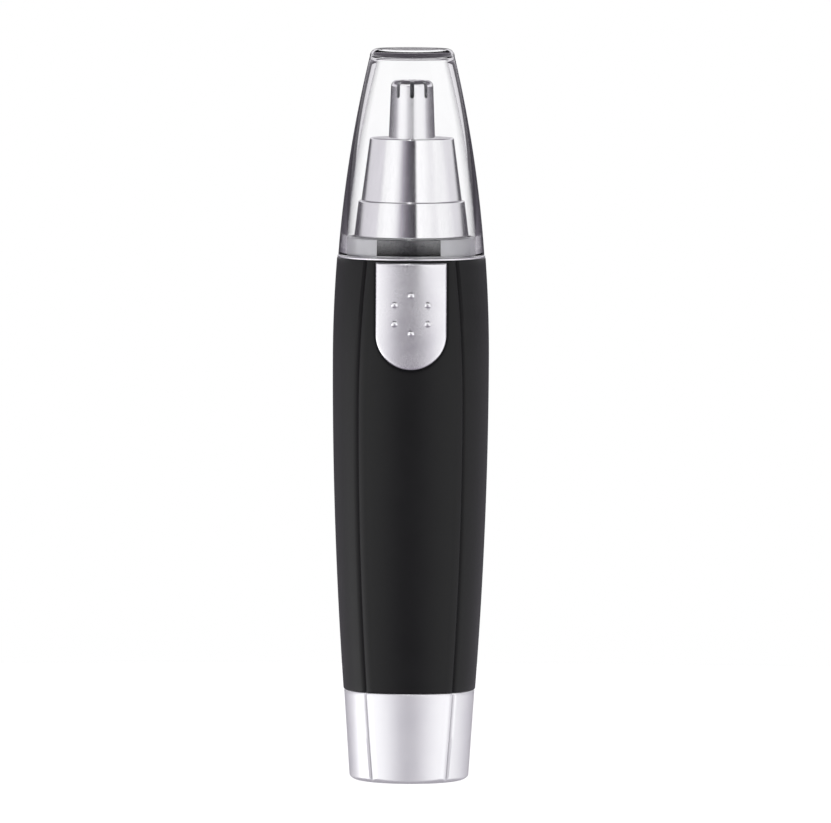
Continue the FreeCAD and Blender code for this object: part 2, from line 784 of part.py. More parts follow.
def drive_coupling():
    body = disc(COUPLING_RADIUS, coupling_bottom, coupling_top)
    body = body.cut(disc(SHAFT_RADIUS, coupling_bottom, fork_bottom - 0.3))
    half = TONGUE_HALF_WIDTH + TONGUE_CLEARANCE
    wide = COUPLING_RADIUS + 1
    return body.cut(block(-wide, wide, -half, half, fork_bottom, coupling_top))


def motor_screws():
    screws = []
    for y in (-SCREW_Y, SCREW_Y):
        shank = rod(SCREW_RADIUS, 0, y, can_top - 1.0, web_top)
        head = rod(SCREW_HEAD_RADIUS, 0, y, web_top, web_top + SCREW_HEAD_HEIGHT)
        screw = shank.fuse(head).removeSplitter()
        slot_depth = 0.5
        for half_x, half_y in ((1.1, 0.22), (0.22, 1.1)):
            screw = screw.cut(block(
                -half_x, half_x, y - half_y, y + half_y,
                web_top + SCREW_HEAD_HEIGHT - slot_depth, web_top + SCREW_HEAD_HEIGHT,
            ))
        screws.append(screw)
    return Part.makeCompound(screws)


# Neck

def key_block(x, clearance, z0, z1):
    half_x = KEY_HALF_THICKNESS + clearance
    half_y = KEY_HALF_WIDTH + clearance
    return block(x - half_x, x + half_x, -half_y, half_y, z0, z1)


def collar_tab_space():
    """The dark window's room in the collar's front, which is also the window."""
    return sector(
        collar_radius, collar_radius - TAB_THICKNESS, rim_z + TAB_FOOT, band_top - TAB_HEAD,
        TAB_MIDDLE, TAB_HALF_ANGLE,
    )


def neck_collar():
    body = fused([
        disc(collar_radius, web_bottom, band_top),
        disc(shell_crown_radius - COLLAR_FLANGE_INSET, shell_top, rim_z),
    ])
    body = body.cut(disc(collar_bore, web_top, band_top))
    body = body.cut(disc(COUPLING_RADIUS + 0.6, web_bottom, web_top))
    for y in (-SCREW_Y, SCREW_Y):
        body = body.cut(rod(SCREW_RADIUS, 0, y, web_bottom, web_top))
    for x in (-KEY_X, KEY_X):
        body = body.cut(key_block(x, KEY_CLEARANCE, web_bottom, web_top))
    for track in bayonet_track(collar_bore, collar_bore - 1, band_top + 1, head_lug_bottom, -LUG_TURN):
        body = body.cut(track)
    return body.cut(collar_tab_space())


# Head

def spindle_carrier():
    """Bush that centres the spindle; its keys stop it turning while the head turns on it."""
    cup_radius = COUPLING_RADIUS + 0.5
    body = fused([
        disc(carrier_radius, carrier_plate_bottom, carrier_plate_bottom + CARRIER_PLATE),
        disc(cup_radius + 1.0, carrier_plate_bottom, spring_seat),
        disc(SPINDLE_RADIUS + CARRIER_NECK_WALL, spring_seat - 0.5, spring_seat + 3.9),
        *[key_block(x, 0, web_bottom + 0.5, carrier_plate_bottom + 0.5) for x in (-KEY_X, KEY_X)],
    ])
    body = body.cut(disc(cup_radius, carrier_plate_bottom - 1, carrier_cup_top))
    return body.cut(disc(SPINDLE_RADIUS + SPINDLE_CLEARANCE, carrier_cup_top, spring_seat + 4))


def cutter_spindle():
    tongue = block(
        -COUPLING_RADIUS + 0.4, COUPLING_RADIUS - 0.4, -TONGUE_HALF_WIDTH, TONGUE_HALF_WIDTH,
        fork_bottom + 0.2, coupling_top + 0.3,
    )
    return fused([
        tongue,
        disc(COUPLING_RADIUS - 0.2, coupling_top + 0.2, coupling_top + 0.9),
        disc(SPINDLE_RADIUS, coupling_top + 0.5, cutter_bottom + 1.0),
        disc(SPINDLE_RADIUS + 1.9, spring_collar, spring_collar + 1.0),
    ])


def cutter_spring():
    radius = SPINDLE_RADIUS + CARRIER_NECK_WALL + CUTTER_SPRING_WIRE + 0.1
    return coil(radius, CUTTER_SPRING_WIRE, spring_seat, spring_collar, CUTTER_SPRING_TURNS)


def cutter_blade():
    """Four wings on a sleeve that is pressed over the spindle's end."""
    reach = guard_tip_bore - CUTTER_CLEARANCE
    corner = GUARD_ROUNDING
    half = CUTTER_WING_THICKNESS / 2

    def wing():
        return block(0, reach, -half, half, cutter_bottom, cutter_top)

    shoulder = taper(reach, reach - corner, cutter_top - corner, cutter_top)
    envelope = disc(reach, cutter_bottom - 2, cutter_top - corner).fuse(shoulder)
    sleeve = disc(SPINDLE_RADIUS + 0.5, cutter_bottom - 1.2, cutter_bottom + 1.4)
    body = fused([sleeve, *polar(CUTTER_WINGS, wing, 15.0)]).common(envelope)
    return body.cut(disc(SPINDLE_RADIUS, cutter_bottom - 2, cutter_bottom + 1.0))


def head_base_ring():
    body = fused([
        taper(ring_foot_radius, ring_crown_radius, ring_bottom, ring_top),
        disc(head_spigot_radius, head_bottom, ring_bottom),
        *bayonet_lugs(head_spigot_radius, head_lug_bottom),
    ])
    ledge_z = carrier_plate_bottom + CARRIER_PLATE + CARRIER_CLEARANCE
    body = body.cut(disc(head_bore, head_bottom, ledge_z))
    body = body.cut(disc(head_bore - 0.8, head_bottom, ring_top))
    body = body.cut(disc(head_bore + CLIP_GROOVE_DEPTH, clip_bottom, clip_bottom + CLIP_THICKNESS))
    return body.cut(disc(cone_spigot_radius() + 0.05, ring_top - CONE_SPIGOT - 0.1, ring_top))


def carrier_clip():
    """Open spring ring in the head's groove: it keeps the carrier in the head."""
    clip_top = clip_bottom + CLIP_THICKNESS
    clip = ring(head_bore + CLIP_GROOVE_DEPTH, head_bore - CLIP_REACH, clip_bottom, clip_top)
    gap = sector(2 * head_bore, 1.0, clip_bottom, clip_top, 90.0, CLIP_HALF_GAP)
    return clip.cut(gap)


def cone_spigot_radius():
    return cone_foot_radius - 0.6


def head_cone():
    body = fused([
        taper(cone_foot_radius, cone_tip_radius, ring_top, cone_top),
        disc(cone_spigot_radius(), ring_top - CONE_SPIGOT, ring_top + 0.5),
    ])
    inner_foot = cone_spigot_radius() - 0.6
    inner_tip = cone_tip_radius - CONE_WALL
    body = body.cut(disc(inner_foot, ring_top - CONE_SPIGOT, ring_top))
    body = body.cut(taper(inner_foot, inner_tip, ring_top, cone_top - CONE_WALL))
    return body.cut(disc(guard_radius(cone_top - CONE_WALL) + 0.02, cone_top - 2 * CONE_WALL, cone_top))


def guard_radius(z):
    share = (z - cone_top) / GUARD_HEIGHT
    return GUARD_BASE_RADIUS + (GUARD_TIP_RADIUS - GUARD_BASE_RADIUS) * share


def guard_form(inset, z0, rounding):
    """The guard's outer form, or its bore when inset by the wall."""
    top = guard_top - inset
    bend_z = top - rounding
    foot = guard_radius(z0) - inset
    side = guard_radius(bend_z) - inset
    slant = math.sin(math.radians(45))
    middle = point(side - rounding * (1 - slant), bend_z + rounding * slant)
    return spun([
        line(point(0, z0), point(foot, z0)),
        line(point(foot, z0), point(side, bend_z)),
        arc(point(side, bend_z), middle, point(side - rounding, top)),
        line(point(side - rounding, top), point(0, top)),
        line(point(0, top), point(0, z0)),
    ])


def guard_tube():
    flange_top = cone_top - CONE_WALL
    flange_bottom = flange_top - 0.55
    flange = disc(GUARD_BASE_RADIUS + GUARD_FLANGE_REACH, flange_bottom, flange_top)
    body = fused([guard_form(0, flange_bottom, GUARD_ROUNDING), flange])
    body = body.cut(guard_form(GUARD_WALL, flange_bottom, GUARD_ROUNDING - GUARD_WALL))
    half = GUARD_SLOT_WIDTH / 2

    def slot():
        mouth = block(
            GUARD_SLOT_INNER_RADIUS, 2 * GUARD_BASE_RADIUS, -half, half,
            guard_top - GUARD_SLOT_DEPTH + half, guard_top + 1,
        )
        foot = Part.makeCylinder(
            half, 2 * GUARD_BASE_RADIUS - GUARD_SLOT_INNER_RADIUS,
            Vector(GUARD_SLOT_INNER_RADIUS, 0, guard_top - GUARD_SLOT_DEPTH + half), Vector(1, 0, 0),
        )
        return mouth.fuse(foot)

    for cut in polar(GUARD_SLOTS, slot, -90.0):
        body = body.cut(cut)
    return body


# Protective cap

def cap_form(foot_radius, tip_radius, foot_z, tip_z, rounding):
    """A bell round the long axis: a bowed side, a rounded shoulder and a flat top at tip_z."""
    shoulder_z = tip_z - rounding
    middle = point((foot_radius + tip_radius) / 2 + CAP_BOW, (foot_z + shoulder_z) / 2)
    slant = math.sin(math.radians(45))
    bend = point(tip_radius - rounding * (1 - slant), shoulder_z + rounding * slant)
    return spun([
        line(point(0, foot_z), point(foot_radius, foot_z)),
        arc(point(foot_radius, foot_z), middle, point(tip_radius, shoulder_z)),
        arc(point(tip_radius, shoulder_z), bend, point(tip_radius - rounding, tip_z)),
        line(point(tip_radius - rounding, tip_z), point(0, tip_z)),
        line(point(0, tip_z), point(0, foot_z)),
    ])


def protective_cap():
    land_top = band_top + 0.2
    outer = cap_form(cap_rim_radius, CAP_TIP_RADIUS, rim_z, cap_top, CAP_ROUNDING)
    hollow = cap_form(
        cap_land_radius - 0.1, CAP_TIP_RADIUS - CAP_WALL, land_top,
        cap_ceiling, 0.7 * CAP_ROUNDING,
    )
    return outer.cut(disc(cap_land_radius, rim_z - 1, land_top)).cut(hollow)


# Switch

def button_outline(half_width, border):
    """A prism along Y with the button's U-shaped front, with a border below and beside it."""
    bottom = button_top - BUTTON_LENGTH - border
    far = 2 * shell_peak_radius
    round_z = bottom + half_width
    straight = block(-half_width, half_width, -far, 0, round_z, button_top)
    end = Part.makeCylinder(half_width, far, Vector(0, -far, round_z), Vector(0, 1, 0))
    return straight.fuse(end).removeSplitter()


def button_skin_y(x, z):
    """How far the button's front stands from the axis at a place on it."""
    under_z = z - SWITCH_TRAVEL
    front_y, arc_radius = panel_front(side_radius(under_z), panel_half_width(under_z))
    offset = SWITCH_GAP + BUTTON_THICKNESS
    return front_y + offset - (arc_radius + offset) + math.sqrt((arc_radius + offset) ** 2 - x ** 2)


def switch_tray():
    """Black plate with a narrow border, which the silver button is stuck on."""
    tray = panel_block(SWITCH_GAP + TRAY_THICKNESS, SWITCH_TRAVEL)
    tray = tray.cut(panel_block(SWITCH_GAP, SWITCH_TRAVEL))
    return tray.common(button_outline(BUTTON_HALF_WIDTH + TRAY_BORDER, TRAY_BORDER))


def switch_button():
    plate = panel_block(SWITCH_GAP + BUTTON_THICKNESS, SWITCH_TRAVEL)
    plate = plate.cut(panel_block(SWITCH_GAP + TRAY_THICKNESS + TRAY_GLUE, SWITCH_TRAVEL))
    plate = plate.common(button_outline(BUTTON_HALF_WIDTH, 0))
    ball = (GRIP_DOT_RADIUS ** 2 + GRIP_DOT_HEIGHT ** 2) / (2 * GRIP_DOT_HEIGHT)
    dot_depth = GRIP_DOT_HEIGHT + (BUTTON_THICKNESS - TRAY_THICKNESS) / 2
    for number in range(GRIP_DOTS):
        angle = math.radians(90 + 360.0 * number / GRIP_DOTS)
        x = GRIP_CIRCLE_RADIUS * math.cos(angle)
        z = grip_z + GRIP_CIRCLE_RADIUS * math.sin(angle)
        y = button_skin_y(x, z) + GRIP_DOT_HEIGHT - ball
        dot = Part.makeSphere(ball, Vector(x, -y, z))
        front = Vector(x, -y - ball - 0.01, z)
        keep = Part.makeCylinder(1.3 * GRIP_DOT_RADIUS, dot_depth, front, Vector(0, 1, 0))
        plate = plate.fuse(dot.common(keep))
    return plate.removeSplitter()


def switch_slider():
    reach = block(
        -STEM_HALF_WIDTH, STEM_HALF_WIDTH, -2 * shell_peak_radius, -slider_inner_y,
        slider_z - STEM_HALF_LENGTH, slider_z + STEM_HALF_LENGTH,
    )
    foot = block(
        -SLIDER_HALF_WIDTH, SLIDER_HALF_WIDTH, -slider_outer_y, -slider_inner_y,
        slider_z - SLIDER_HALF_LENGTH, slider_z + SLIDER_HALF_LENGTH,
    )
    inside = panel_block(SWITCH_GAP, SWITCH_TRAVEL)
    return reach.common(inside).fuse(foot).removeSplitter()


def switch_contact():
    """Brass bridge with two rounded ridges that ride on the strips."""
    half_x = STRIP_OFFSET + STRIP_WIDTH
    ridge_z = slider_z - STEM_HALF_LENGTH + 0.6
    leaf = block(
        -half_x, half_x, -slider_inner_y, -contact_inner_y,
        ridge_z - 1.5, ridge_z + 1.5,
    )
    sides = [leaf]
    for sign in (1, -1):
        x = sign * (STRIP_OFFSET + STRIP_WIDTH / 2) - 0.8
        end = Vector(x, -contact_inner_y - 0.5 + CONTACT_BUMP, ridge_z)
        ridge = Part.makeCylinder(0.5, 1.6, end, Vector(1, 0, 0))
        sides.append(ridge)
    body = fused(sides)
    return body.cut(block(-half_x, half_x, -2 * slider_inner_y, -slider_inner_y, 0, cap_top))


PIECES = {
    "protective_cap": protective_cap,
    "head_cone": head_cone,
    "head_base_ring": head_base_ring,
    "guard_tube": guard_tube,
    "carrier_clip": carrier_clip,
    "spindle_carrier": spindle_carrier,
    "cutter_spindle": cutter_spindle,
    "cutter_blade": cutter_blade,
    "cutter_spring": cutter_spring,
    "neck_collar": neck_collar,
    "neck_window": collar_tab_space,
    "motor_screws": motor_screws,
    "drive_coupling": drive_coupling,
    "motor_shaft": motor_shaft,
    "armature_core": armature_core,
    "armature_windings": armature_windings,
    "commutator": commutator,
    "motor_can": motor_can,
    "motor_end_cap": motor_end_cap,
    "motor_terminals": motor_terminals,
    "motor_bushes": motor_bushes,
    "motor_magnets": motor_magnets,
    "motor_brushes": motor_brushes,
    "motor_pad": motor_pad,
    "inner_frame": inner_frame,
    "positive_strip": positive_strip,
    "motor_lead_strip": motor_lead_strip,
    "negative_strip": negative_strip,
    "body_shell": body_shell,
    "switch_tray": switch_tray,
    "switch_button": switch_button,
    "switch_slider": switch_slider,
    "switch_contact": switch_contact,
    "battery_cell": battery_cell,
    "battery_jacket": battery_jacket,
    "battery_spring": battery_spring,
    "cap_contact": cap_contact,
    "bottom_cap": bottom_cap,
    "cap_insert": cap_insert,
    "door_seal": door_seal,
}


def main():
    os.makedirs("parts", exist_ok=True)
    for name, make in PIECES.items():
        shape = make()
        count = len(shape.Solids)
        print(name, "solids", count, "volume", round(shape.Volume, 2), "valid", shape.isValid())
        shape.exportStep("parts/" + name + ".step")


main()
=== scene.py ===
"""Battery nose hair trimmer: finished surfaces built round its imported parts.

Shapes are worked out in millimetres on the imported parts' own axes and written to the meshes in metres.
The long axis is +Z, the thumb plate faces -Y and the trimmer stands on its battery door.
"""

import json
import logging
import math
from collections.abc import Sequence
from dataclasses import dataclass, field
from enum import Enum

import bmesh
import bpy
from mathutils import Matrix, Vector


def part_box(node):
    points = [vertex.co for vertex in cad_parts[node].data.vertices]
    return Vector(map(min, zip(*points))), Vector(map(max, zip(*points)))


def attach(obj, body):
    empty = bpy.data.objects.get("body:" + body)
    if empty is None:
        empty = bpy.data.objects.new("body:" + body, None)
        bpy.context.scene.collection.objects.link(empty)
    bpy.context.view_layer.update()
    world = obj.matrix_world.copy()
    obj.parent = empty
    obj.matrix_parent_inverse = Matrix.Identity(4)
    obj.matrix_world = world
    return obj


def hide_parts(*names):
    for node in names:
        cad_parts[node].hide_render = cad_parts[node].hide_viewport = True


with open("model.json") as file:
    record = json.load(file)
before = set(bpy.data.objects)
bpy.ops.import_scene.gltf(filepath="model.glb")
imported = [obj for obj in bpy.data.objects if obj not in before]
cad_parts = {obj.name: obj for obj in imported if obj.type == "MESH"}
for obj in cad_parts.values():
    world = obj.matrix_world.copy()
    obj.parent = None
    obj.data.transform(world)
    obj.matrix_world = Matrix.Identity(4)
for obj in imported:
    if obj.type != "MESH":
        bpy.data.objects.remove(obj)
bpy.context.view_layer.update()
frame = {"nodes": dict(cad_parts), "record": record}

log = logging.getLogger("trimmer")

MM = 0.001
ROUND_STEPS = 144
CORNER_STEPS = 5
COIL_STEPS = 40
WIRE_SIDES = 14
WEDGE_STEP = 2.0
ON_AXIS = 1e-6
SHARP_ANGLE = math.radians(33)
NEARLY_STRAIGHT = math.radians(89)
ROUNDING_SHARE = 0.45

Spot = tuple[float, float]
Corner = tuple[float, float, float]
Colour = tuple[float, float, float]
Ring = list[Vector]
Piece = bpy.types.Object
Tree = bpy.types.NodeTree
Socket = bpy.types.NodeSocket
Tint = Socket | Sequence[float]
Inputs = dict[str | int, Socket | float | bool | Sequence[float]]

NODE_BODY = {node: body for body, nodes in frame["record"]["behaviour"]["bodies"].items() for node in nodes}


# Outlines and meshes


def heights(node: str) -> tuple[float, float]:
    """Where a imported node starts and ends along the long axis.

    Args:
        node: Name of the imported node.

    Returns:
        Its lowest and highest height in millimetres.
    """
    low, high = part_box(node)
    return low.z / MM, high.z / MM


def reach(node: str) -> float:
    """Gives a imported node's largest radius about the long axis, in millimetres."""
    return max(math.hypot(v.co.x, v.co.y) for v in frame["nodes"][node].data.vertices) / MM


def arc_through(start: Spot, middle: Spot, end: Spot, steps: int) -> list[Spot]:
    """Walks the circle through three spots.

    Args:
        start: First spot, included.
        middle: A spot that the arc passes.
        end: Last spot, included.
        steps: Number of equal steps.

    Returns:
        The spots along the arc.
    """
    (ax, ay), (bx, by), (cx, cy) = start, middle, end
    a2, b2, c2 = ax * ax + ay * ay, bx * bx + by * by, cx * cx + cy * cy
    twice_area = 2 * (ax * (by - cy) + bx * (cy - ay) + cx * (ay - by))
    centre_x = (a2 * (by - cy) + b2 * (cy - ay) + c2 * (ay - by)) / twice_area
    centre_y = (a2 * (cx - bx) + b2 * (ax - cx) + c2 * (bx - ax)) / twice_area
    radius = math.hypot(ax - centre_x, ay - centre_y)
    first = math.atan2(ay - centre_y, ax - centre_x)
    full = 2 * math.pi
    sweep = (math.atan2(cy - centre_y, cx - centre_x) - first) % full
    if (math.atan2(by - centre_y, bx - centre_x) - first) % full > sweep:
        sweep -= full
    angles = [first + sweep * step / steps for step in range(steps + 1)]
    return [(centre_x + radius * math.cos(angle), centre_y + radius * math.sin(angle)) for angle in angles]


def rounded(corners: Sequence[Corner], steps: int = CORNER_STEPS) -> list[Spot]:
    """Rounds the corners of a closed outline.

    Args:
        corners: Each corner's two coordinates and its rounding radius.
        steps: Steps in each rounding.

    Returns:
        The outline's spots in order.
    """
    outline = []
    for number, (x, y, radius) in enumerate(corners):
        here = Vector((x, y))
        back = Vector(corners[number - 1][:2]) - here
        ahead = Vector(corners[(number + 1) % len(corners)][:2]) - here
        half = back.angle(ahead, math.pi) / 2
        if radius <= 0 or half > NEARLY_STRAIGHT:
            outline.append((x, y))
            continue
        run = min(radius / math.tan(half), ROUNDING_SHARE * back.length, ROUNDING_SHARE * ahead.length)
        first = here + back.normalized() * run
        last = here + ahead.normalized() * run
        bend = run * math.tan(half)
        centre = here + (back.normalized() + ahead.normalized()).normalized() * (run / math.cos(half))
        middle = centre + (here - centre).normalized() * bend
        outline += arc_through(tuple(first), tuple(middle), tuple(last), steps)
    return outline


def circle(radius: float, z: float, count: int = ROUND_STEPS) -> Ring:
    """Makes a level ring of points round the long axis."""
    angles = [2 * math.pi * number / count for number in range(count)]
    return [Vector((radius * math.cos(angle), radius * math.sin(angle), z)) for angle in angles]


def smooth(piece: Piece) -> Piece:
    """Shades a piece smooth, with its true edges kept sharp.

    Args:
        piece: The mesh object to shade.

    Returns:
        The same object.
    """
    for face in piece.data.polygons:
        face.use_smooth = True
    piece.data.set_sharp_from_angle(angle=SHARP_ANGLE)
    return piece


def skin(name: str, rings: Sequence[Ring], loop: bool = False) -> Piece:
    """Stretches a surface over rings of points.

    Args:
        name: Name of the new object.
        rings: Rings with the same number of points each, in millimetres.
        loop: Whether the last ring joins the first; otherwise both ends are closed with a face.

    Returns:
        The closed mesh object.
    """
    count = len(rings[0])
    last = len(rings) - 1
    faces = []
    for low in range(len(rings) if loop else last):
        below, above = low * count, (low + 1) % len(rings) * count
        for here in range(count):
            beside = (here + 1) % count
            faces.append((below + here, below + beside, above + beside, above + here))
    if not loop:
        faces.append(tuple(reversed(range(count))))
        faces.append(tuple(range(last * count, (last + 1) * count)))
    mesh = bpy.data.meshes.new(name)
    mesh.from_pydata([spot * MM for ring in rings for spot in ring], [], faces)
    work = bmesh.new()
    work.from_mesh(mesh)
    bmesh.ops.recalc_face_normals(work, faces=work.faces)
    work.to_mesh(mesh)
    work.free()
    piece = bpy.data.objects.new(name, mesh)
    bpy.context.scene.collection.objects.link(piece)
    return smooth(piece)


def held(outline: Sequence[Spot], hold: float = 0.08, long: float = 0.8) -> list[Spot]:
    """Adds a spot close to each end of the outline's long runs, so that the shading stays even along them.

    Args:
        outline: The closed outline's spots.
        hold: Distance of the added spots from the run's ends.
        long: Shortest run that gets them.

    Returns:
        The outline with the added spots.
    """
    spots = []
    for spot, after in zip(outline, [*outline[1:], outline[0]]):
        spots.append(spot)
        run = math.dist(spot, after)
        if run > long and max(spot[0], after[0]) > ON_AXIS:
            for share in (hold / run, 1 - hold / run):
                spots.append(tuple(a + share * (b - a) for a, b in zip(spot, after)))
    return spots


def turned(name: str, outline: Sequence[Spot], count: int = ROUND_STEPS) -> Piece:
    """Turns a closed outline of (radius, height) spots about the long axis.

    An outline that has spots on the axis gives a solid; one that stays clear of it gives a ring.

    Args:
        name: Name of the new object.
        outline: The outline's spots in order.
        count: Points in each turn.

    Returns:
        The mesh object.
    """
    outline = held(outline)
    on_axis = [radius <= ON_AXIS for radius, _ in outline]
    start = next((n for n in range(len(outline)) if on_axis[n - 1] and not on_axis[n]), 0)
    ordered = [*outline[start:], *outline[:start]]
    rings = [circle(radius, z, count) for radius, z in ordered if radius > ON_AXIS]
    return skin(name, rings, loop=not any(on_axis))


def swept(name: str, outline: Sequence[Spot], middle: float, half: float, steps: int) -> Piece:
    """Sweeps an outline of (radius, height) spots part of the way round the long axis.

    Args:
        name: Name of the new object.
        outline: The closed outline's spots in order.
        middle: Direction of the middle, in degrees.
        half: Degrees to each side of the middle.
        steps: Number of steps.

    Returns:
        The mesh object.
    """
    rings = []
    for step in range(steps + 1):
        angle = math.radians(middle - half + 2 * half * step / steps)
        along = Vector((math.cos(angle), math.sin(angle), 0))
        rings.append([along * radius + Vector((0, 0, z)) for radius, z in outline])
    return skin(name, rings)


def wedge(name: str, radii: Spot, levels: Spot, middle: float, half: float) -> Piece:
    """Makes a piece of a ring.

    Args:
        name: Name of the new object.
        radii: Inner and outer radius.
        levels: Lowest and highest height.
        middle: Direction of its middle, in degrees.
        half: Degrees to each side of the middle.

    Returns:
        The mesh object.
    """
    (inner, outer), (low, high) = radii, levels
    outline = [(inner, low), (outer, low), (outer, high), (inner, high)]
    return swept(name, outline, middle, half, max(4, math.ceil(half / WEDGE_STEP)))


def key_bars(name: str, x: float, halves: Spot, zs: Spot, edge: float) -> list[Piece]:
    """Makes a bar at each side of the axis.

    Args:
        name: Name of the new objects.
        x: Distance of their middles from the axis.
        halves: Half their size along X and Y.
        zs: Their two ends along Z.
        edge: Rounding of the upright edges.

    Returns:
        Both mesh objects.
    """
    half_x, half_y = halves
    xs = [(side * x - half_x, side * x + half_x) for side in (-1, 1)]
    return [bar(name, ends, (-half_y, half_y), zs, edge) for ends in xs]


def bar(name: str, xs: Spot, ys: Spot, zs: Spot, edge: float = 0.0) -> Piece:
    """Makes a straight bar with its upright edges rounded.

    Args:
        name: Name of the new object.
        xs: Its two ends along X.
        ys: Its two ends along Y.
        zs: Its two ends along Z.
        edge: Rounding of the upright edges.

    Returns:
        The mesh object.
    """
    (left, right), (front, back) = xs, ys
    outline = rounded([(left, front, edge), (right, front, edge), (right, back, edge), (left, back, edge)])
    return skin(name, [[Vector((x, y, z)) for x, y in outline] for z in zs])


class Joining(Enum):
    """What a tool does to the piece it is put to."""

    CUT = "DIFFERENCE"
    WELD = "UNION"


def worked(piece: Piece, tools: Sequence[Piece], joining: Joining) -> Piece:
    """Cuts tools out of a piece, or welds them on.

    Args:
        piece: The piece to work on.
        tools: The tools, which are used up.
        joining: Whether to cut or to weld.

    Returns:
        The worked piece.
    """
    for tool in tools:
        change = piece.modifiers.new(joining.name.lower(), "BOOLEAN")
        change.operation = joining.value
        change.solver = "EXACT"
        change.object = tool
    bpy.context.view_layer.update()
    graph = bpy.context.evaluated_depsgraph_get()
    mesh = bpy.data.meshes.new_from_object(piece.evaluated_get(graph))
    piece.modifiers.clear()
    piece.data = mesh
    for tool in tools:
        bpy.data.objects.remove(tool)
    return smooth(piece)


def spring_coil(name: str, radius: float, wire: float, levels: Spot, turns: int) -> Piece:
    """Winds a round-wire spring with closed end turns.

    Args:
        name: Name of the new object.
        radius: Radius to the middle of the wire.
        wire: Radius of the wire.
        levels: The two seats that the spring fills.
        turns: Whole turns between its ends.

    Returns:
        The mesh object.
    """
    steps = COIL_STEPS * turns
    low, high = levels[0] + wire, levels[1] - wire
    sides = [2 * math.pi * corner / WIRE_SIDES for corner in range(WIRE_SIDES)]
    rings = []
    for step in range(steps + 1):
        angle = 2 * math.pi * turns * step / steps
        outward = Vector((math.cos(angle), math.sin(angle), 0))
        middle = outward * radius + Vector((0, 0, low + (high - low) * step / steps))
        rings.append([
            middle + outward * wire * math.cos(side) + Vector((0, 0, wire * math.sin(side))) for side in sides
        ])
    return skin(name, rings)


# Finishes


def feed(node: bpy.types.Node, inputs: Inputs) -> bpy.types.Node:
    """Sets a node's inputs.

    Args:
        node: The node.
        inputs: Each input's value, or the socket that feeds it.

    Returns:
        The same node.
    """
    for name, value in inputs.items():
        if isinstance(value, Socket):
            node.id_data.links.new(value, node.inputs[name])
        else:
            node.inputs[name].default_value = value
    return node


def add_node(tree: Tree, kind: str, inputs: Inputs, **settings: str | bool) -> bpy.types.Node:
    """Adds a node to a tree.

    Args:
        tree: The node tree.
        kind: Type of the node.
        inputs: Each input's value, or the socket that feeds it.
        settings: The node's own settings, made before its inputs.

    Returns:
        The new node.
    """
    made = tree.nodes.new(kind)
    for name, value in settings.items():
        setattr(made, name, value)
    return feed(made, inputs)


def worked_out(tree: Tree, operation: str, *values: Socket | float, clamp: bool = False) -> Socket:
    """Adds a step of arithmetic on values and sockets."""
    inputs = dict(enumerate(values))
    return add_node(tree, "ShaderNodeMath", inputs, operation=operation, use_clamp=clamp).outputs[0]


def mapped(tree: Tree, value: Socket, span: Spot, onto: Spot = (0.0, 1.0), curve: str = "LINEAR") -> Socket:
    """Adds a change of scale, held at the ends of its span.

    Args:
        tree: The node tree.
        value: Socket with the value.
        span: The two values that give the ends of the result.
        onto: The two ends of the result.
        curve: How the result runs between its ends.

    Returns:
        The result's socket.
    """
    inputs = {"Value": value, "From Min": span[0], "From Max": span[1], "To Min": onto[0], "To Max": onto[1]}
    return add_node(tree, "ShaderNodeMapRange", inputs, interpolation_type=curve).outputs["Result"]


def mixed(tree: Tree, share: Socket, first: Tint, second: Tint) -> Socket:
    """Adds a mix of two colours."""
    inputs = {"Factor": share, "A": first, "B": second}
    return add_node(tree, "ShaderNodeMix", inputs, data_type="RGBA").outputs["Result"]


def ramped(tree: Tree, share: Socket, stops: Sequence[tuple[float, Colour]]) -> Socket:
    """Adds a colour ramp.

    Args:
        tree: The node tree.
        share: Socket with the place on the ramp.
        stops: Place and colour of each stop, in order.

    Returns:
        The colour's socket.
    """
    ramp = add_node(tree, "ShaderNodeValToRGB", {"Fac": share})
    elements = ramp.color_ramp.elements
    while len(elements) < len(stops):
        elements.new(0.5)
    for element, (place, colour) in zip(elements, stops):
        element.position = place
        element.color = (*colour, 1)
    return ramp.outputs["Color"]


def marks(tree: Tree, stretch: Sequence[float], size: float, detail: float) -> Socket:
    """Adds a noise pattern of marks of one size.

    Args:
        tree: The material's node tree.
        stretch: How closely the marks lie along each axis.
        size: Size of a mark in millimetres.
        detail: Levels of finer detail.

    Returns:
        The pattern's value socket.
    """
    place = add_node(tree, "ShaderNodeTexCoord", {}).outputs["Object"]
    mapping = add_node(tree, "ShaderNodeMapping", {"Vector": place, "Scale": stretch})
    inputs = {"Vector": mapping.outputs["Vector"], "Scale": 1 / (size * MM), "Detail": detail}
    return add_node(tree, "ShaderNodeTexNoise", inputs).outputs["Fac"]


class Grain(Enum):
    """How a finish's fine marks run: stretch of the marks along X, Y and Z."""

    MOULDED = (1.0, 1.0, 1.0)
    LENGTHWISE = (1.0, 1.0, 0.012)
    TURNED = (0.02, 0.02, 1.0)
    WOUND = (0.04, 0.04, 1.0)


@dataclass(frozen=True)
class Surface:
    """A named surface, built as a node material when it is first used."""

    name: str

    def material(self) -> bpy.types.Material:
        """Gives the surface's material.

        Returns:
            The material, which is built only once.
        """
        made = bpy.data.materials.get(self.name)
        if made is None:
            made = bpy.data.materials.new(self.name)
            made.use_nodes = True
            self.paint(made.node_tree, made.node_tree.nodes["Principled BSDF"])
        return made

    def paint(self, tree: Tree, shader: bpy.types.Node) -> None:
        """Adds the nodes round the surface's shader."""
        raise NotImplementedError


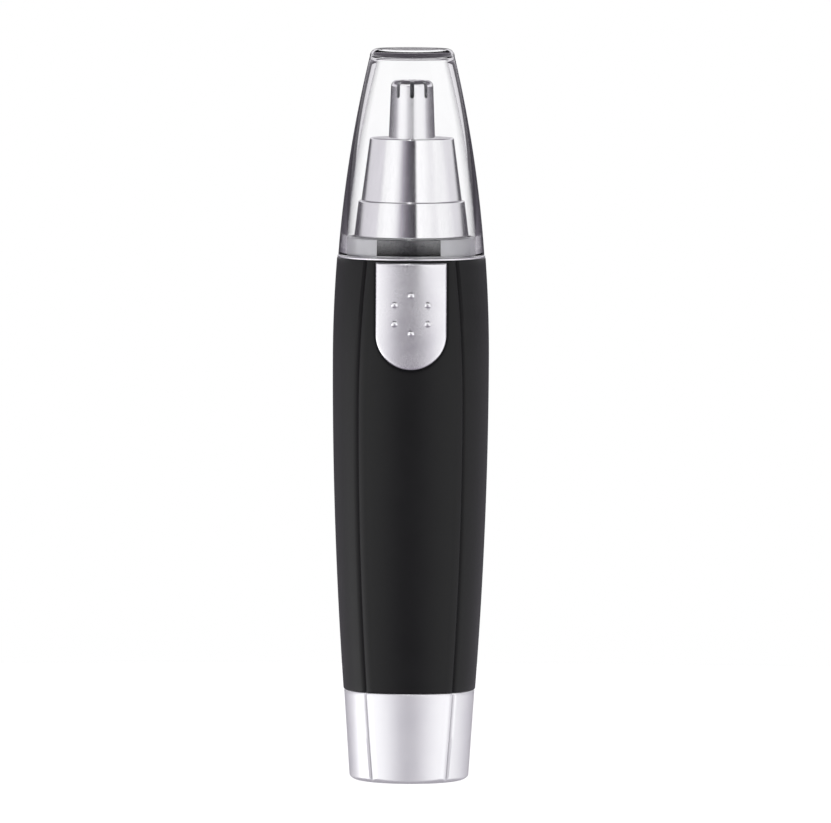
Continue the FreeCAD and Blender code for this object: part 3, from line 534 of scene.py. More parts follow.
@dataclass(frozen=True)
class Finish(Surface):
    """A solid finish with colour mottling, fine grain, uneven gloss, worn edges and painted shade in its
    creases.
    """

    colour: Colour
    shade: Colour
    metallic: float = 0.0
    roughness: float = 0.4
    unevenness: float = 0.06
    grain: Grain = Grain.MOULDED
    grain_size: float = 0.16
    relief: float = 0.15
    relief_depth: float = 0.01
    mottle_size: float = 5.0
    wear: float = 0.25
    specular: float = 0.5
    coat: float = 0.0
    coat_roughness: float = 0.1
    sheen: float = 0.0
    # Painted shade: the heights over which the colour darkens downwards to the near-black colour below.
    painted_shade_heights: Spot | None = None
    painted_shade_colour: Colour = (0.002, 0.002, 0.002)
    fine_detail: float = 6.0
    broad_detail: float = 3.0
    mottle_span: Spot = (0.32, 0.68)
    gloss_span: Spot = (0.3, 0.7)
    edge_span: Spot = (0.52, 0.62)
    edge_light: Colour = (0.35, 0.65, 0.12)
    # Painted shade in creases: the pointiness span, its strength and the dark tone taken from the shade
    # colour.
    crease_span: Spot = (0.485, 0.43)
    crease_painted_shade: float = 0.65
    crease_shade: float = 0.2

    def paint(self, tree: Tree, shader: bpy.types.Node) -> None:
        """Adds the finish's nodes.

        Args:
            tree: The material's node tree.
            shader: Its surface shader.
        """
        fine = marks(tree, self.grain.value, self.grain_size, self.fine_detail)
        broad = marks(tree, self.grain.value, self.mottle_size, self.broad_detail)
        both = worked_out(tree, "MULTIPLY_ADD", fine, 0.5, worked_out(tree, "MULTIPLY", broad, 0.5))
        colour = ramped(tree, both, tuple(zip(self.mottle_span, (self.shade, self.colour))))
        pointed = add_node(tree, "ShaderNodeNewGeometry", {}).outputs["Pointiness"]
        own, brightest, lift = self.edge_light
        light = [min(1.0, own * part + brightest * max(self.colour) + lift) for part in self.colour]
        colour = mixed(tree, mapped(tree, pointed, self.edge_span, (0.0, self.wear)), colour, (*light, 1))
        # Painted shade: creases, found by low pointiness, are mixed towards a dark tone of the shade colour.
        dark = (*(self.crease_shade * part for part in self.shade), 1)
        colour = mixed(tree, mapped(tree, pointed, self.crease_span, (0.0, self.crease_painted_shade)), colour, dark)
        # Painted shade: the colour is mixed towards near black from the upper height down to the lower one.
        if self.painted_shade_heights:
            place = add_node(tree, "ShaderNodeTexCoord", {}).outputs["Object"]
            height = add_node(tree, "ShaderNodeSeparateXYZ", {0: place}).outputs["Z"]
            share = mapped(tree, height, (self.painted_shade_heights[0] * MM, self.painted_shade_heights[1] * MM))
            colour = mixed(tree, share, (*self.painted_shade_colour, 1), colour)
        gloss = (self.roughness - self.unevenness, self.roughness + self.unevenness)
        bump = {"Strength": self.relief, "Distance": self.relief_depth * MM, "Height": fine}
        feed(shader, {
            "Base Color": colour,
            "Metallic": self.metallic,
            "Roughness": mapped(tree, both, self.gloss_span, gloss),
            "Specular IOR Level": self.specular,
            "Coat Weight": self.coat,
            "Coat Roughness": self.coat_roughness,
            "Sheen Weight": self.sheen,
            "Normal": add_node(tree, "ShaderNodeBump", bump).outputs["Normal"],
        })


@dataclass(frozen=True)
class ClearMoulding(Surface):
    """Clear polished plastic with painted shade in its colour where its walls are seen edge on."""

    name: str = "clear_plastic_moulding"
    face: Colour = (0.985, 0.985, 0.99)
    # rim is the colour of the painted shade on walls seen edge on.
    rim: Colour = (0.27, 0.27, 0.29)
    painted_edge_shade_span: Spot = (0.5, 0.84)
    upright_span: Spot = (0.42, 0.26)
    index: float = 1.23
    roughness: float = 0.015
    flow_stretch: Colour = (1.0, 1.0, 0.3)
    flow_size: float = 6.0
    flow_detail: float = 2.0

    def paint(self, tree: Tree, shader: bpy.types.Node) -> None:
        """Adds the nodes of a clear material that lets light through to the pieces inside.

        Args:
            tree: The material's node tree.
            shader: Its surface shader.
        """
        path = add_node(tree, "ShaderNodeLightPath", {}).outputs
        facing = add_node(tree, "ShaderNodeLayerWeight", {"Blend": 0.5}).outputs["Facing"]
        normal = add_node(tree, "ShaderNodeNewGeometry", {}).outputs["Normal"]
        rise = add_node(tree, "ShaderNodeSeparateXYZ", {0: normal}).outputs["Z"]
        tilt = worked_out(tree, "ABSOLUTE", rise)
        # Painted shade: upright walls seen edge on darken the colour, on rays that have not been reflected.
        wall = worked_out(tree, "MULTIPLY", mapped(tree, tilt, self.upright_span), facing)
        direct = worked_out(tree, "LESS_THAN", path["Glossy Depth"], 0.5)
        painted_edge_shade = worked_out(tree, "MULTIPLY", direct, wall)
        flow = marks(tree, self.flow_stretch, self.flow_size, self.flow_detail)
        feed(shader, {
            "Base Color": ramped(tree, painted_edge_shade, tuple(zip(self.painted_edge_shade_span, (self.face, self.rim)))),
            "Roughness": mapped(tree, flow, (0.0, 1.0), (0.0, 2 * self.roughness)),
            "Transmission Weight": 1.0,
            "IOR": self.index,
        })
        clear = add_node(tree, "ShaderNodeBsdfTransparent", {}).outputs["BSDF"]
        inputs = {"Fac": path["Is Shadow Ray"], 1: shader.outputs["BSDF"], 2: clear}
        choice = add_node(tree, "ShaderNodeMixShader", inputs)
        feed(tree.nodes["Material Output"], {"Surface": choice.outputs["Shader"]})


@dataclass(frozen=True)
class FloorPaint(Surface):
    """Pale matt paint that glows a little, so that the floor reads as white."""

    name: str = "pale_floor_paint"
    colour: Colour = (0.92, 0.92, 0.93)
    roughness: float = 0.8
    glow: float = 0.75

    def paint(self, tree: Tree, shader: bpy.types.Node) -> None:
        """Sets the paint's values."""
        feed(shader, {
            "Base Color": (*self.colour, 1),
            "Roughness": self.roughness,
            "Emission Color": (1, 1, 1, 1),
            "Emission Strength": self.glow,
        })



SOFT_BLACK = Finish(
    "soft_touch_black", (0.0078, 0.0078, 0.0085), (0.0056, 0.0056, 0.0062), roughness=0.35, unevenness=0.04,
    grain_size=0.09, relief=0.25, relief_depth=0.006, wear=0.012, specular=0.24,
)
# Painted shadow: a black darker than the body, for the tray border that shows as the dark gap round the thumb
# plate.
SHADOW_GAP_BLACK = Finish(
    "painted_shadow_gap_black", (0.005, 0.005, 0.006), (0.004, 0.004, 0.005), roughness=0.4, wear=0.0, specular=0.12,
)
INNER_BLACK = Finish(
    "moulded_black", (0.03, 0.03, 0.033), (0.02, 0.02, 0.022), roughness=0.42, wear=0.05, relief=0.3,
)
# Its colour carries painted shade, darker towards its foot.
DARK_WINDOW = Finish(
    "dark_window", (0.21, 0.21, 0.215), (0.19, 0.19, 0.195), metallic=1.0, roughness=0.27, wear=0.03,
    painted_shade_heights=(97.4, 100.4), specular=0.3,
)
SILVER_LACQUER = Finish(
    "silver_lacquer", (0.97, 0.96, 0.99), (0.84, 0.83, 0.87), metallic=1.0, roughness=0.26, unevenness=0.05,
    grain_size=0.09, relief=0.45, relief_depth=0.006, wear=0.5,
)
DOOR_LACQUER = Finish(
    "door_lacquer", (0.95, 0.945, 0.97), (0.89, 0.885, 0.92), metallic=0.75, roughness=0.34, unevenness=0.04,
    grain_size=0.06, relief=0.2, relief_depth=0.004, wear=0.5, coat=0.15, coat_roughness=0.2,
)
NECK_LACQUER = Finish(
    "neck_lacquer", (0.50, 0.50, 0.51), (0.43, 0.43, 0.45), metallic=0.8, roughness=0.32, wear=0.5,
    grain_size=0.06, relief=0.2, relief_depth=0.004,
)
BRIGHT_METAL = Finish(
    "lengthwise_brushed_metal", (0.965, 0.96, 0.97), (0.86, 0.855, 0.87), metallic=1.0, roughness=0.13,
    unevenness=0.04, grain=Grain.LENGTHWISE, grain_size=0.10, relief=0.5, relief_depth=0.004, wear=0.3,
    mottle_size=1.4,
)
GUARD_STEEL = Finish(
    "turned_guard_steel", (0.95, 0.945, 0.96), (0.88, 0.875, 0.89), metallic=1.0, roughness=0.17,
    unevenness=0.03, grain=Grain.TURNED, grain_size=0.05, relief=0.25, relief_depth=0.002, wear=0.1,
)
BLADE_STEEL = Finish(
    "ground_blade_steel", (0.55, 0.55, 0.57), (0.42, 0.42, 0.44), metallic=1.0, roughness=0.25,
    grain=Grain.LENGTHWISE, grain_size=0.08, relief=0.3, relief_depth=0.003, wear=0.4,
)
SPRING_STEEL = Finish(
    "drawn_spring_steel", (0.62, 0.63, 0.65), (0.48, 0.49, 0.51), metallic=1.0, roughness=0.24,
    grain_size=0.08,
)
PLATED_STEEL = Finish(
    "plated_steel", (0.74, 0.73, 0.70), (0.64, 0.63, 0.61), metallic=1.0, roughness=0.27, grain_size=0.2,
)
SHAFT_STEEL = Finish(
    "ground_shaft_steel", (0.72, 0.72, 0.74), (0.6, 0.6, 0.62), metallic=1.0, roughness=0.16,
    grain=Grain.TURNED, grain_size=0.04,
)
STACKED_STEEL = Finish(
    "stacked_sheet_steel", (0.34, 0.35, 0.37), (0.14, 0.14, 0.15), metallic=0.9, roughness=0.42,
    grain=Grain.TURNED, grain_size=0.25, relief=0.8, relief_depth=0.03,
)
COPPER_WIRE = Finish(
    "wound_copper_wire", (0.62, 0.24, 0.09), (0.3, 0.09, 0.03), metallic=0.85, roughness=0.3,
    grain=Grain.WOUND, grain_size=0.22, relief=0.9, relief_depth=0.05, coat=0.4,
)
COPPER_BAR = Finish(
    "turned_copper", (0.80, 0.42, 0.24), (0.6, 0.28, 0.15), metallic=1.0, roughness=0.22, grain=Grain.TURNED,
)
BRONZE = Finish(
    "sintered_bronze", (0.52, 0.36, 0.18), (0.28, 0.18, 0.08), metallic=0.9, roughness=0.48, relief=0.8,
    grain_size=0.12, relief_depth=0.02,
)
BRASS = Finish("brass_strip", (0.78, 0.6, 0.28), (0.62, 0.45, 0.19), metallic=1.0, roughness=0.25)
FERRITE = Finish(
    "sintered_ferrite", (0.05, 0.05, 0.052), (0.028, 0.028, 0.03), roughness=0.6, relief=0.8, grain_size=0.2,
)
WHITE_ACETAL = Finish(
    "white_acetal", (0.78, 0.78, 0.75), (0.70, 0.70, 0.67), roughness=0.36, wear=0.3, relief=0.15,
)
GREY_ACETAL = Finish(
    "grey_acetal", (0.085, 0.088, 0.094), (0.06, 0.062, 0.067), roughness=0.38, wear=0.06, relief=0.2,
)
NATURAL_NYLON = Finish("natural_nylon", (0.72, 0.7, 0.62), (0.62, 0.6, 0.53), roughness=0.42)
FOAM = Finish(
    "closed_cell_foam", (0.03, 0.03, 0.032), (0.012, 0.012, 0.013), roughness=0.85, relief=1.0,
    grain_size=0.5, relief_depth=0.15, sheen=0.2,
)
SEAL_RUBBER = Finish(
    "seal_rubber", (0.016, 0.016, 0.017), (0.01, 0.01, 0.011), roughness=0.55, relief=0.4, grain_size=0.1,
)
CELL_STEEL = Finish(
    "bare_cell_steel", (0.70, 0.70, 0.71), (0.6, 0.6, 0.61), metallic=1.0, roughness=0.24,
    grain=Grain.TURNED, grain_size=0.1,
)
CELL_FILM = Finish(
    "cell_shrink_film", (0.045, 0.09, 0.16), (0.035, 0.07, 0.13), roughness=0.25, relief=0.1, coat=0.5,
    mottle_size=9.0,
)
CLEAR = ClearMoulding()

KEPT_FINISHES = {
    "carrier_clip": SPRING_STEEL,
    "cutter_blade": BLADE_STEEL,
    "motor_screws": PLATED_STEEL,
    "drive_coupling": WHITE_ACETAL,
    "motor_shaft": SHAFT_STEEL,
    "armature_core": STACKED_STEEL,
    "armature_windings": COPPER_WIRE,
    "commutator": COPPER_BAR,
    "motor_can": PLATED_STEEL,
    "motor_end_cap": NATURAL_NYLON,
    "motor_terminals": PLATED_STEEL,
    "motor_bushes": BRONZE,
    "motor_magnets": FERRITE,
    "motor_brushes": BRASS,
    "motor_pad": FOAM,
    "inner_frame": INNER_BLACK,
    "positive_strip": PLATED_STEEL,
    "motor_lead_strip": PLATED_STEEL,
    "negative_strip": PLATED_STEEL,
    "switch_slider": INNER_BLACK,
    "switch_contact": BRASS,
    "cap_contact": PLATED_STEEL,
}


def fit(piece: Piece, node: str, finish: Surface) -> Piece:
    """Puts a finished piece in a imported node's place.

    Args:
        piece: The new piece.
        node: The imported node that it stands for.
        finish: The finish of its surface.

    Returns:
        The same piece.
    """
    piece.data.materials.clear()
    piece.data.materials.append(finish.material())
    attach(piece, NODE_BODY[node])
    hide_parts(node)
    log.info("%s stands for %s on %s: %d faces", piece.name, node, NODE_BODY[node], len(piece.data.polygons))
    return piece


# Sub-assemblies


@dataclass
class OuterForm:
    """The trimmer's outside: round bowed sides with a flatter panel standing proud at front and back."""

    foot_z: float = heights("body_shell")[0]
    crown_z: float = heights("body_shell")[1]
    peak_z: float = 78.0
    foot_radius: float = 12.15
    peak_radius: float = 14.4
    crown_radius: float = 13.68
    door_step: float = 0.12
    door_taper: float = 0.066
    panel_peak_z: float = 69.0
    panel_foot: float = 6.65
    panel_peak: float = 9.65
    panel_crown: float = 8.15
    panel_proud: float = 0.42
    panel_flatness: float = 1.18
    step_run: float = 0.4
    edge_run: float = 1.5
    crease_depth: float = 0.45
    crease_width: float = 0.6
    crease_lift: float = 0.02
    bend_share: float = 0.2
    panel_steps: int = 26
    edge_steps: int = 12
    side_steps: int = 22

    @staticmethod
    def bulge(z: float, low: Spot, peak: Spot, high: Spot) -> float:
        """Gives a value that falls away from its peak by a parabola on each side.

        Args:
            z: Height to look at.
            low: Height and value of the lower end.
            peak: Height and value of the peak.
            high: Height and value of the upper end.

        Returns:
            The value at that height.
        """
        end = low if z < peak[0] else high
        share = (z - peak[0]) / (end[0] - peak[0])
        return peak[1] - (peak[1] - end[1]) * share**2

    def side_radius(self, z: float) -> float:
        """Gives the radius of the shell's sides."""
        peak = (self.peak_z, self.peak_radius)
        return self.bulge(z, (self.foot_z, self.foot_radius), peak, (self.crown_z, self.crown_radius))

    def door_radius(self, z: float) -> float:
        """Gives the radius of the battery door's sides."""
        return self.foot_radius - self.door_step - self.door_taper * (self.foot_z - z)

    def panel_half_width(self, z: float) -> float:
        """Gives half the panel's width."""
        peak = (self.panel_peak_z, self.panel_peak)
        return self.bulge(z, (0.0, self.panel_foot), peak, (self.crown_z, self.panel_crown))

    def panel_front(self, radius: float, width: float) -> Spot:
        """Gives how far the panel's middle stands from the axis, and the radius of its arc.

        Args:
            radius: Radius of the sides at that height.
            width: Half the panel's width there.

        Returns:
            The distance and the radius.
        """
        arc_radius = self.panel_flatness * radius
        edge_x = width - self.step_run
        edge_y = math.sqrt(radius**2 - width**2) + self.panel_proud
        return edge_y + arc_radius - math.sqrt(arc_radius**2 - edge_x**2), arc_radius

    def outline(self, z: float, radius: float) -> Ring:
        """Draws the outside's section.

        Args:
            z: Height of the section.
            radius: Radius of its sides.

        Returns:
            The section's points, all round.
        """
        width = self.panel_half_width(z)
        crease_y = math.sqrt(radius**2 - width**2)
        front_y, arc_radius = self.panel_front(radius, width)
        edge_x = width - self.edge_run
        edge = (edge_x, front_y - arc_radius + math.sqrt(arc_radius**2 - edge_x**2))
        corner = (width - self.bend_share * self.step_run, crease_y + self.panel_proud)
        groove = (width, crease_y - self.crease_depth)
        side_x = width + self.crease_width
        side_y = math.sqrt(radius**2 - side_x**2)
        quarter = []
        for step in range(self.panel_steps):
            x = edge_x * step / self.panel_steps
            quarter.append((x, front_y - arc_radius + math.sqrt(arc_radius**2 - x**2)))
        for step in range(self.edge_steps + 1):
            share = step / self.edge_steps
            quarter.append(tuple(
                (1 - share) ** 2 * a + 2 * share * (1 - share) * b + share**2 * c
                for a, b, c in zip(edge, corner, groove)
            ))
        quarter.append(((groove[0] + side_x) / 2, (groove[1] + side_y) / 2 + self.crease_lift))
        first = math.atan2(side_x, side_y)
        for step in range(self.side_steps + 1):
            angle = first + (math.pi / 2 - first) * step / self.side_steps
            quarter.append((radius * math.sin(angle), radius * math.cos(angle)))
        between = quarter[-2:0:-1]
        spots = [(x, -y) for x, y in quarter]
        spots += between
        spots += [(-x, y) for x, y in quarter]
        spots += [(-x, -y) for x, y in between]
        return [Vector((x, y, z)) for x, y in spots]

    def front_skin(self, x: float, z: float, offset: float) -> float:
        """Gives how far the front panel's surface, moved out by an offset, stands from the axis.

        Args:
            x: Place across the panel.
            z: Height to look at.
            offset: How far the surface is moved out.

        Returns:
            The distance.
        """
        front_y, arc_radius = self.panel_front(self.side_radius(z), self.panel_half_width(z))
        wide = arc_radius + offset
        return front_y + offset - wide + math.sqrt(wide**2 - x**2)


def drawn_in(ring: Ring, inset: float, z: float) -> Ring:
    """Moves a ring in towards the axis and to another height.

    Args:
        ring: The ring to follow.
        inset: How far each point moves in.
        z: Height of the new ring.

    Returns:
        The new ring.
    """
    moved = []
    for spot in ring:
        radius = math.hypot(spot.x, spot.y)
        share = (radius - inset) / radius
        moved.append(Vector((spot.x * share, spot.y * share, z)))
    return moved


def rim_steps(z: float, rounding: float, upward: int, steps: int = 4) -> list[Spot]:
    """Steps round the quarter circle between a flat end and the side above or below it.

    Args:
        z: Height of the flat end.
        rounding: Radius of the quarter circle.
        upward: 1 if the side goes up from the end, -1 if it goes down.
        steps: Number of steps.

    Returns:
        Each step's height and inset, from the end to the side.
    """
    angles = [math.radians(90 * step / steps) for step in range(steps + 1)]
    return [(z + upward * rounding * (1 - math.cos(a)), rounding * (1 - math.sin(a))) for a in angles]


def soft_least(first: float, second: float, blend: float) -> float:
    """Gives the smaller of two values, with a soft change from one to the other."""
    share = max(blend - abs(first - second), 0.0) / blend
    return min(first, second) - share * share * blend / 4


def round_inside(ring: Ring, radius: float, z: float) -> Ring:
    """Lays a round ring inside another, point by point in the same directions."""
    return [Vector((spot.x, spot.y, 0)).normalized() * radius + Vector((0, 0, z)) for spot in ring]


@dataclass
class Bayonet:
    """Two L-shaped pockets and the two lugs that turn in them."""

    lug_height: float = 1.3
    lug_reach: float = 0.7
    lug_half: float = 12.0
    lug_root: float = 0.3
    gap: float = 0.15
    overcut: float = 1.0
    offset: float = 0.001

    def pockets(self, bore: float, mouth: float, lug_z: float, turn: float) -> list[Piece]:
        """Makes the tools that cut the pockets.

        Args:
            bore: Radius of the bore that they open into.
            mouth: Height of the bore's open end.
            lug_z: Lowest height of the lugs.
            turn: Degrees by which the lugs turn.

        Returns:
            The tools.
        """
        depth = bore + self.lug_reach + self.gap
        half = self.lug_half + math.degrees(self.gap / bore)
        low, high = lug_z - self.gap, lug_z + self.lug_height + self.gap
        inner = bore - self.overcut
        way_in = (min(low, mouth), max(high, mouth))
        round_radii, round_half = (inner, depth - self.offset), half + abs(turn) / 2
        tools = []
        for middle in (0.0, 180.0):
            tools.append(wedge("way_in", (inner, depth), way_in, middle, half))
            tools.append(wedge("way_round", round_radii, (low, high), middle + turn / 2, round_half))
        return tools

    def lugs(self, radius: float, lug_z: float) -> list[Piece]:
        """Makes the two lugs, sunk a little into the wall they stand on."""
        radii, levels = (radius - self.lug_root, radius + self.lug_reach), (lug_z, lug_z + self.lug_height)
        return [wedge("lug", radii, levels, middle, self.lug_half) for middle in (0.0, 180.0)]


@dataclass
class Casing:
    """Soft black body shell with the silver neck collar and the dark window in its band."""

    form: OuterForm
    bayonet: Bayonet
    wall: float = 1.7
    foot_bore: float = 10.45
    foot_bore_top: float = 24.75
    crown_bore: float = 11.98
    crown_bore_foot: float = 90.9
    rim_rounding: float = 0.22
    slot_half_width: float = 2.0
    slot_levels: Spot = (80.1, 87.9)
    slot_floor_y: float = -9.5
    bore_steps: int = 18
    overcut: float = 1.0
    door_lug_z: float = 20.3
    turn: float = 30.0
    rings: int = 84
    flange: float = 0.45
    flange_radius: float = 13.6
    collar_radius: float = 11.85
    collar_bore: float = 10.05
    collar_foot: float = heights("neck_collar")[0]
    band_top: float = heights("neck_collar")[1]
    web_top: float = 93.6
    web_bore: float = 3.6
    head_lug_z: float = 95.9
    key_x: float = 6.8
    key_half: Spot = (0.95, 1.75)
    key_hole_levels: Spot = (92.0, 94.1)
    key_hole_edge: float = 0.2
    flange_margin: float = 0.1
    window_radii: Spot = (11.25, 11.85)
    window_levels: Spot = heights("neck_window")
    window_place: Spot = (-92.6, 29.0)
    window_gap: float = 0.04
    window_side_gap: float = 0.15
    window_edge: float = 0.1
    window_steps: int = 24
    beyond_band: float = 14.0

    def shell(self) -> Piece:
        """Builds the body shell with its switch slot and its two bayonet pockets.

        Returns:
            The finished shell.
        """
        form, soft = self.form, self.rim_rounding
        foot, crown = form.foot_z, form.crown_z
        skins = [(z, inset) for z, inset in rim_steps(foot, soft, 1)]
        for step in range(1, self.rings):
            skins.append((foot + soft + (crown - foot - 2 * soft) * step / self.rings, 0.0))
        skins += reversed(rim_steps(crown, soft, -1))
        rings = [drawn_in(form.outline(z, form.side_radius(z)), inset, z) for z, inset in skins]
        guide = form.outline(crown, form.side_radius(crown))
        bores = [(crown, self.crown_bore), (self.crown_bore_foot, self.crown_bore)]
        for step in range(1, self.bore_steps):
            z = self.crown_bore_foot + (self.foot_bore_top - self.crown_bore_foot) * step / self.bore_steps
            bores.append((z, form.side_radius(z) - self.wall))
        bores += [(self.foot_bore_top, self.foot_bore), (foot, self.foot_bore)]
        rings += [round_inside(guide, bore, z) for z, bore in bores]
        shell = skin("casing_shell", rings, loop=True)
        width = (-self.slot_half_width, self.slot_half_width)
        slot = bar("stem_slot", width, (-2 * form.peak_radius, self.slot_floor_y), self.slot_levels)
        tools = [slot, *self.bayonet.pockets(self.foot_bore, foot - self.overcut, self.door_lug_z, self.turn)]
        return fit(worked(shell, tools, Joining.CUT), "body_shell", SOFT_BLACK)

    def dress(self) -> list[Piece]:
        """Builds and finishes every piece of the casing."""
        return [self.shell(), self.collar(), self.window()]

    def collar(self) -> Piece:
        """Builds the neck collar with its rim, its bayonet pockets and its dark window's recess.

        Returns:
            The finished collar.
        """
        rim = self.form.crown_z + self.flange
        outline = rounded([
            (self.web_bore, self.collar_foot, 0.1), (self.collar_radius, self.collar_foot, 0.2),
            (self.collar_radius, self.form.crown_z, 0), (self.flange_radius, self.form.crown_z, 0.1),
            (self.flange_radius, rim, 0.32), (self.collar_radius, rim, 0.08),
            (self.collar_radius, self.band_top, 0.25), (self.collar_bore, self.band_top, 0.2),
            (self.collar_bore, self.web_top, 0), (self.web_bore, self.web_top, 0.1),
        ])
        collar = turned("neck_collar_band", outline)
        mouth = self.band_top + self.overcut
        recess = (self.window_radii[0], self.beyond_band)
        tools = [
            *self.bayonet.pockets(self.collar_bore, mouth, self.head_lug_z, -self.turn),
            *key_bars("key_hole", self.key_x, self.key_half, self.key_hole_levels, self.key_hole_edge),
            wedge("window_recess", recess, self.window_levels, *self.window_place),
        ]
        collar = fit(worked(collar, tools, Joining.CUT), "neck_collar", NECK_LACQUER)
        collar.data.materials.append(SILVER_LACQUER.material())
        for face in collar.data.polygons:
            x, y, z = face.center / MM
            face.material_index = int(z < rim + self.flange_margin and math.hypot(x, y) > self.collar_radius)
        return collar

    def window(self) -> Piece:
        """Builds the dark window that lies flush in the collar's band.

        Returns:
            The finished window.
        """
        low, high = self.window_levels[0] + self.window_gap, self.window_levels[1] - self.window_gap
        (inner, outer), (middle, half) = self.window_radii, self.window_place
        edge = self.window_edge
        outline = rounded([(inner, low, 0), (outer, low, edge), (outer, high, edge), (inner, high, 0)])
        window = swept("neck_band_window", outline, middle, half - self.window_side_gap, self.window_steps)
        return fit(window, "neck_window", DARK_WINDOW)


@dataclass
class Switch:
    """Silver thumb plate with six grip dots, on a thin black tray whose border is a painted shadow gap round
    the plate.
    """

    form: OuterForm
    travel: float = 3.0
    gap: float = 0.15
    tray_thickness: float = 0.5
    plate_thickness: float = 1.1
    glue: float = 0.05
    top_z: float = heights("switch_tray")[1]
    length: float = 19.6
    half_width: float = 6.5
    border: float = 0.45
    rounding: float = 0.35
    dots: int = 6
    dot_radius: float = 0.62
    dot_height: float = 0.3
    dot_circle: float = 3.48
    dots_z: float = 86.85
    dot_root: float = 0.25
    dot_steps: int = 9
    dot_turn_steps: int = 36
    across_steps: int = 26
    upright_steps: int = 24
    bow_steps: int = 48
    edge_steps: int = 6
    face_steps: int = 14
    tray_rounding: float = 0.12
    innermost: float = 0.99
    back_insets: Sequence[float] = (0.99, 0.7, 0.4, 0.15)

    def outline(self, half_width: float, bottom: float, inset: float, offset: float) -> Ring:
        """Draws the plate's U-shaped outline on the panel.

        Args:
            half_width: Half the outline's width.
            bottom: Its lowest height.
            inset: How far in from the outline to stay.
            offset: How far the surface stands from the panel.

        Returns:
            The points of the outline.
        """
        wide = half_width - inset
        top = self.top_z - inset
        round_z = bottom + half_width
        upright = [step / self.upright_steps for step in range(self.upright_steps)]
        spots = [(-wide + 2 * wide * step / self.across_steps, top) for step in range(self.across_steps)]
        spots += [(wide, top + (round_z - top) * share) for share in upright]
        for step in range(self.bow_steps):
            angle = -math.pi * step / self.bow_steps
            spots.append((wide * math.cos(angle), round_z + wide * math.sin(angle)))
        spots += [(-wide, round_z + (top - round_z) * share) for share in upright]
        return [Vector((x, -self.form.front_skin(x, z - self.travel, offset), z)) for x, z in spots]

    def slab(self, name: str, extra: float, low: float, high: float, rounding: float) -> Piece:
        """Builds a U-shaped slab that follows the panel.

        Args:
            name: Name of the piece.
            extra: Border beyond the plate's outline, at the sides and the bottom.
            low: Offset of its back from the panel.
            high: Offset of its front from the panel.
            rounding: Rounding of its front edge.

        Returns:
            The mesh object.
        """
        wide = self.half_width + extra
        bottom = self.top_z - self.length - extra
        spots = [(wide * share, low) for share in (*self.back_insets, 0)]
        for step in range(self.edge_steps + 1):
            angle = math.radians(90 * step / self.edge_steps)
            spots.append((rounding * (1 - math.cos(angle)), high - rounding * (1 - math.sin(angle))))
        run = self.innermost * wide - rounding
        spots += [(rounding + run * step / self.face_steps, high) for step in range(1, self.face_steps + 1)]
        return skin(name, [self.outline(wide, bottom, inset, offset) for inset, offset in spots])

    def dot(self, x: float, z: float) -> Piece:
        """Makes one domed grip dot on the plate.

        Args:
            x: Its place across the plate.
            z: Its height.

        Returns:
            The tool to weld on.
        """
        ball = (self.dot_radius**2 + self.dot_height**2) / (2 * self.dot_height)
        half = math.asin(self.dot_radius / ball)
        outline = [(0.0, -self.dot_root), (self.dot_radius, -self.dot_root)]
        for step in range(self.dot_steps):
            angle = half * (1 - step / self.dot_steps)
            outline.append((ball * math.sin(angle), ball * math.cos(angle) - ball + self.dot_height))
        outline.append((0.0, self.dot_height))
        dome = turned("grip_dot", outline, self.dot_turn_steps)
        skin_y = self.form.front_skin(x, z - self.travel, self.gap + self.plate_thickness)
        place = Matrix.Translation(Vector((x, -skin_y, z)) * MM) @ Matrix.Rotation(math.pi / 2, 4, "X")
        dome.data.transform(place)
        return dome

    def dress(self) -> list[Piece]:
        """Builds and finishes the tray and the plate.

        Returns:
            Both pieces.
        """
        back = self.gap + self.tray_thickness
        # The tray's black border round the plate is a painted shadow gap.
        tray = self.slab("thumb_plate_tray", self.border, self.gap, back, self.tray_rounding)
        front = self.gap + self.plate_thickness
        plate = self.slab("thumb_plate", 0.0, back + self.glue, front, self.rounding)
        domes = []
        for number in range(self.dots):
            angle = math.radians(90 + 360 * number / self.dots)
            spot = (self.dot_circle * math.cos(angle), self.dots_z + self.dot_circle * math.sin(angle))
            domes.append(self.dot(*spot))
        plate = worked(plate, domes, Joining.WELD)
        return [fit(tray, "switch_tray", SHADOW_GAP_BLACK), fit(plate, "switch_button", SILVER_LACQUER)]


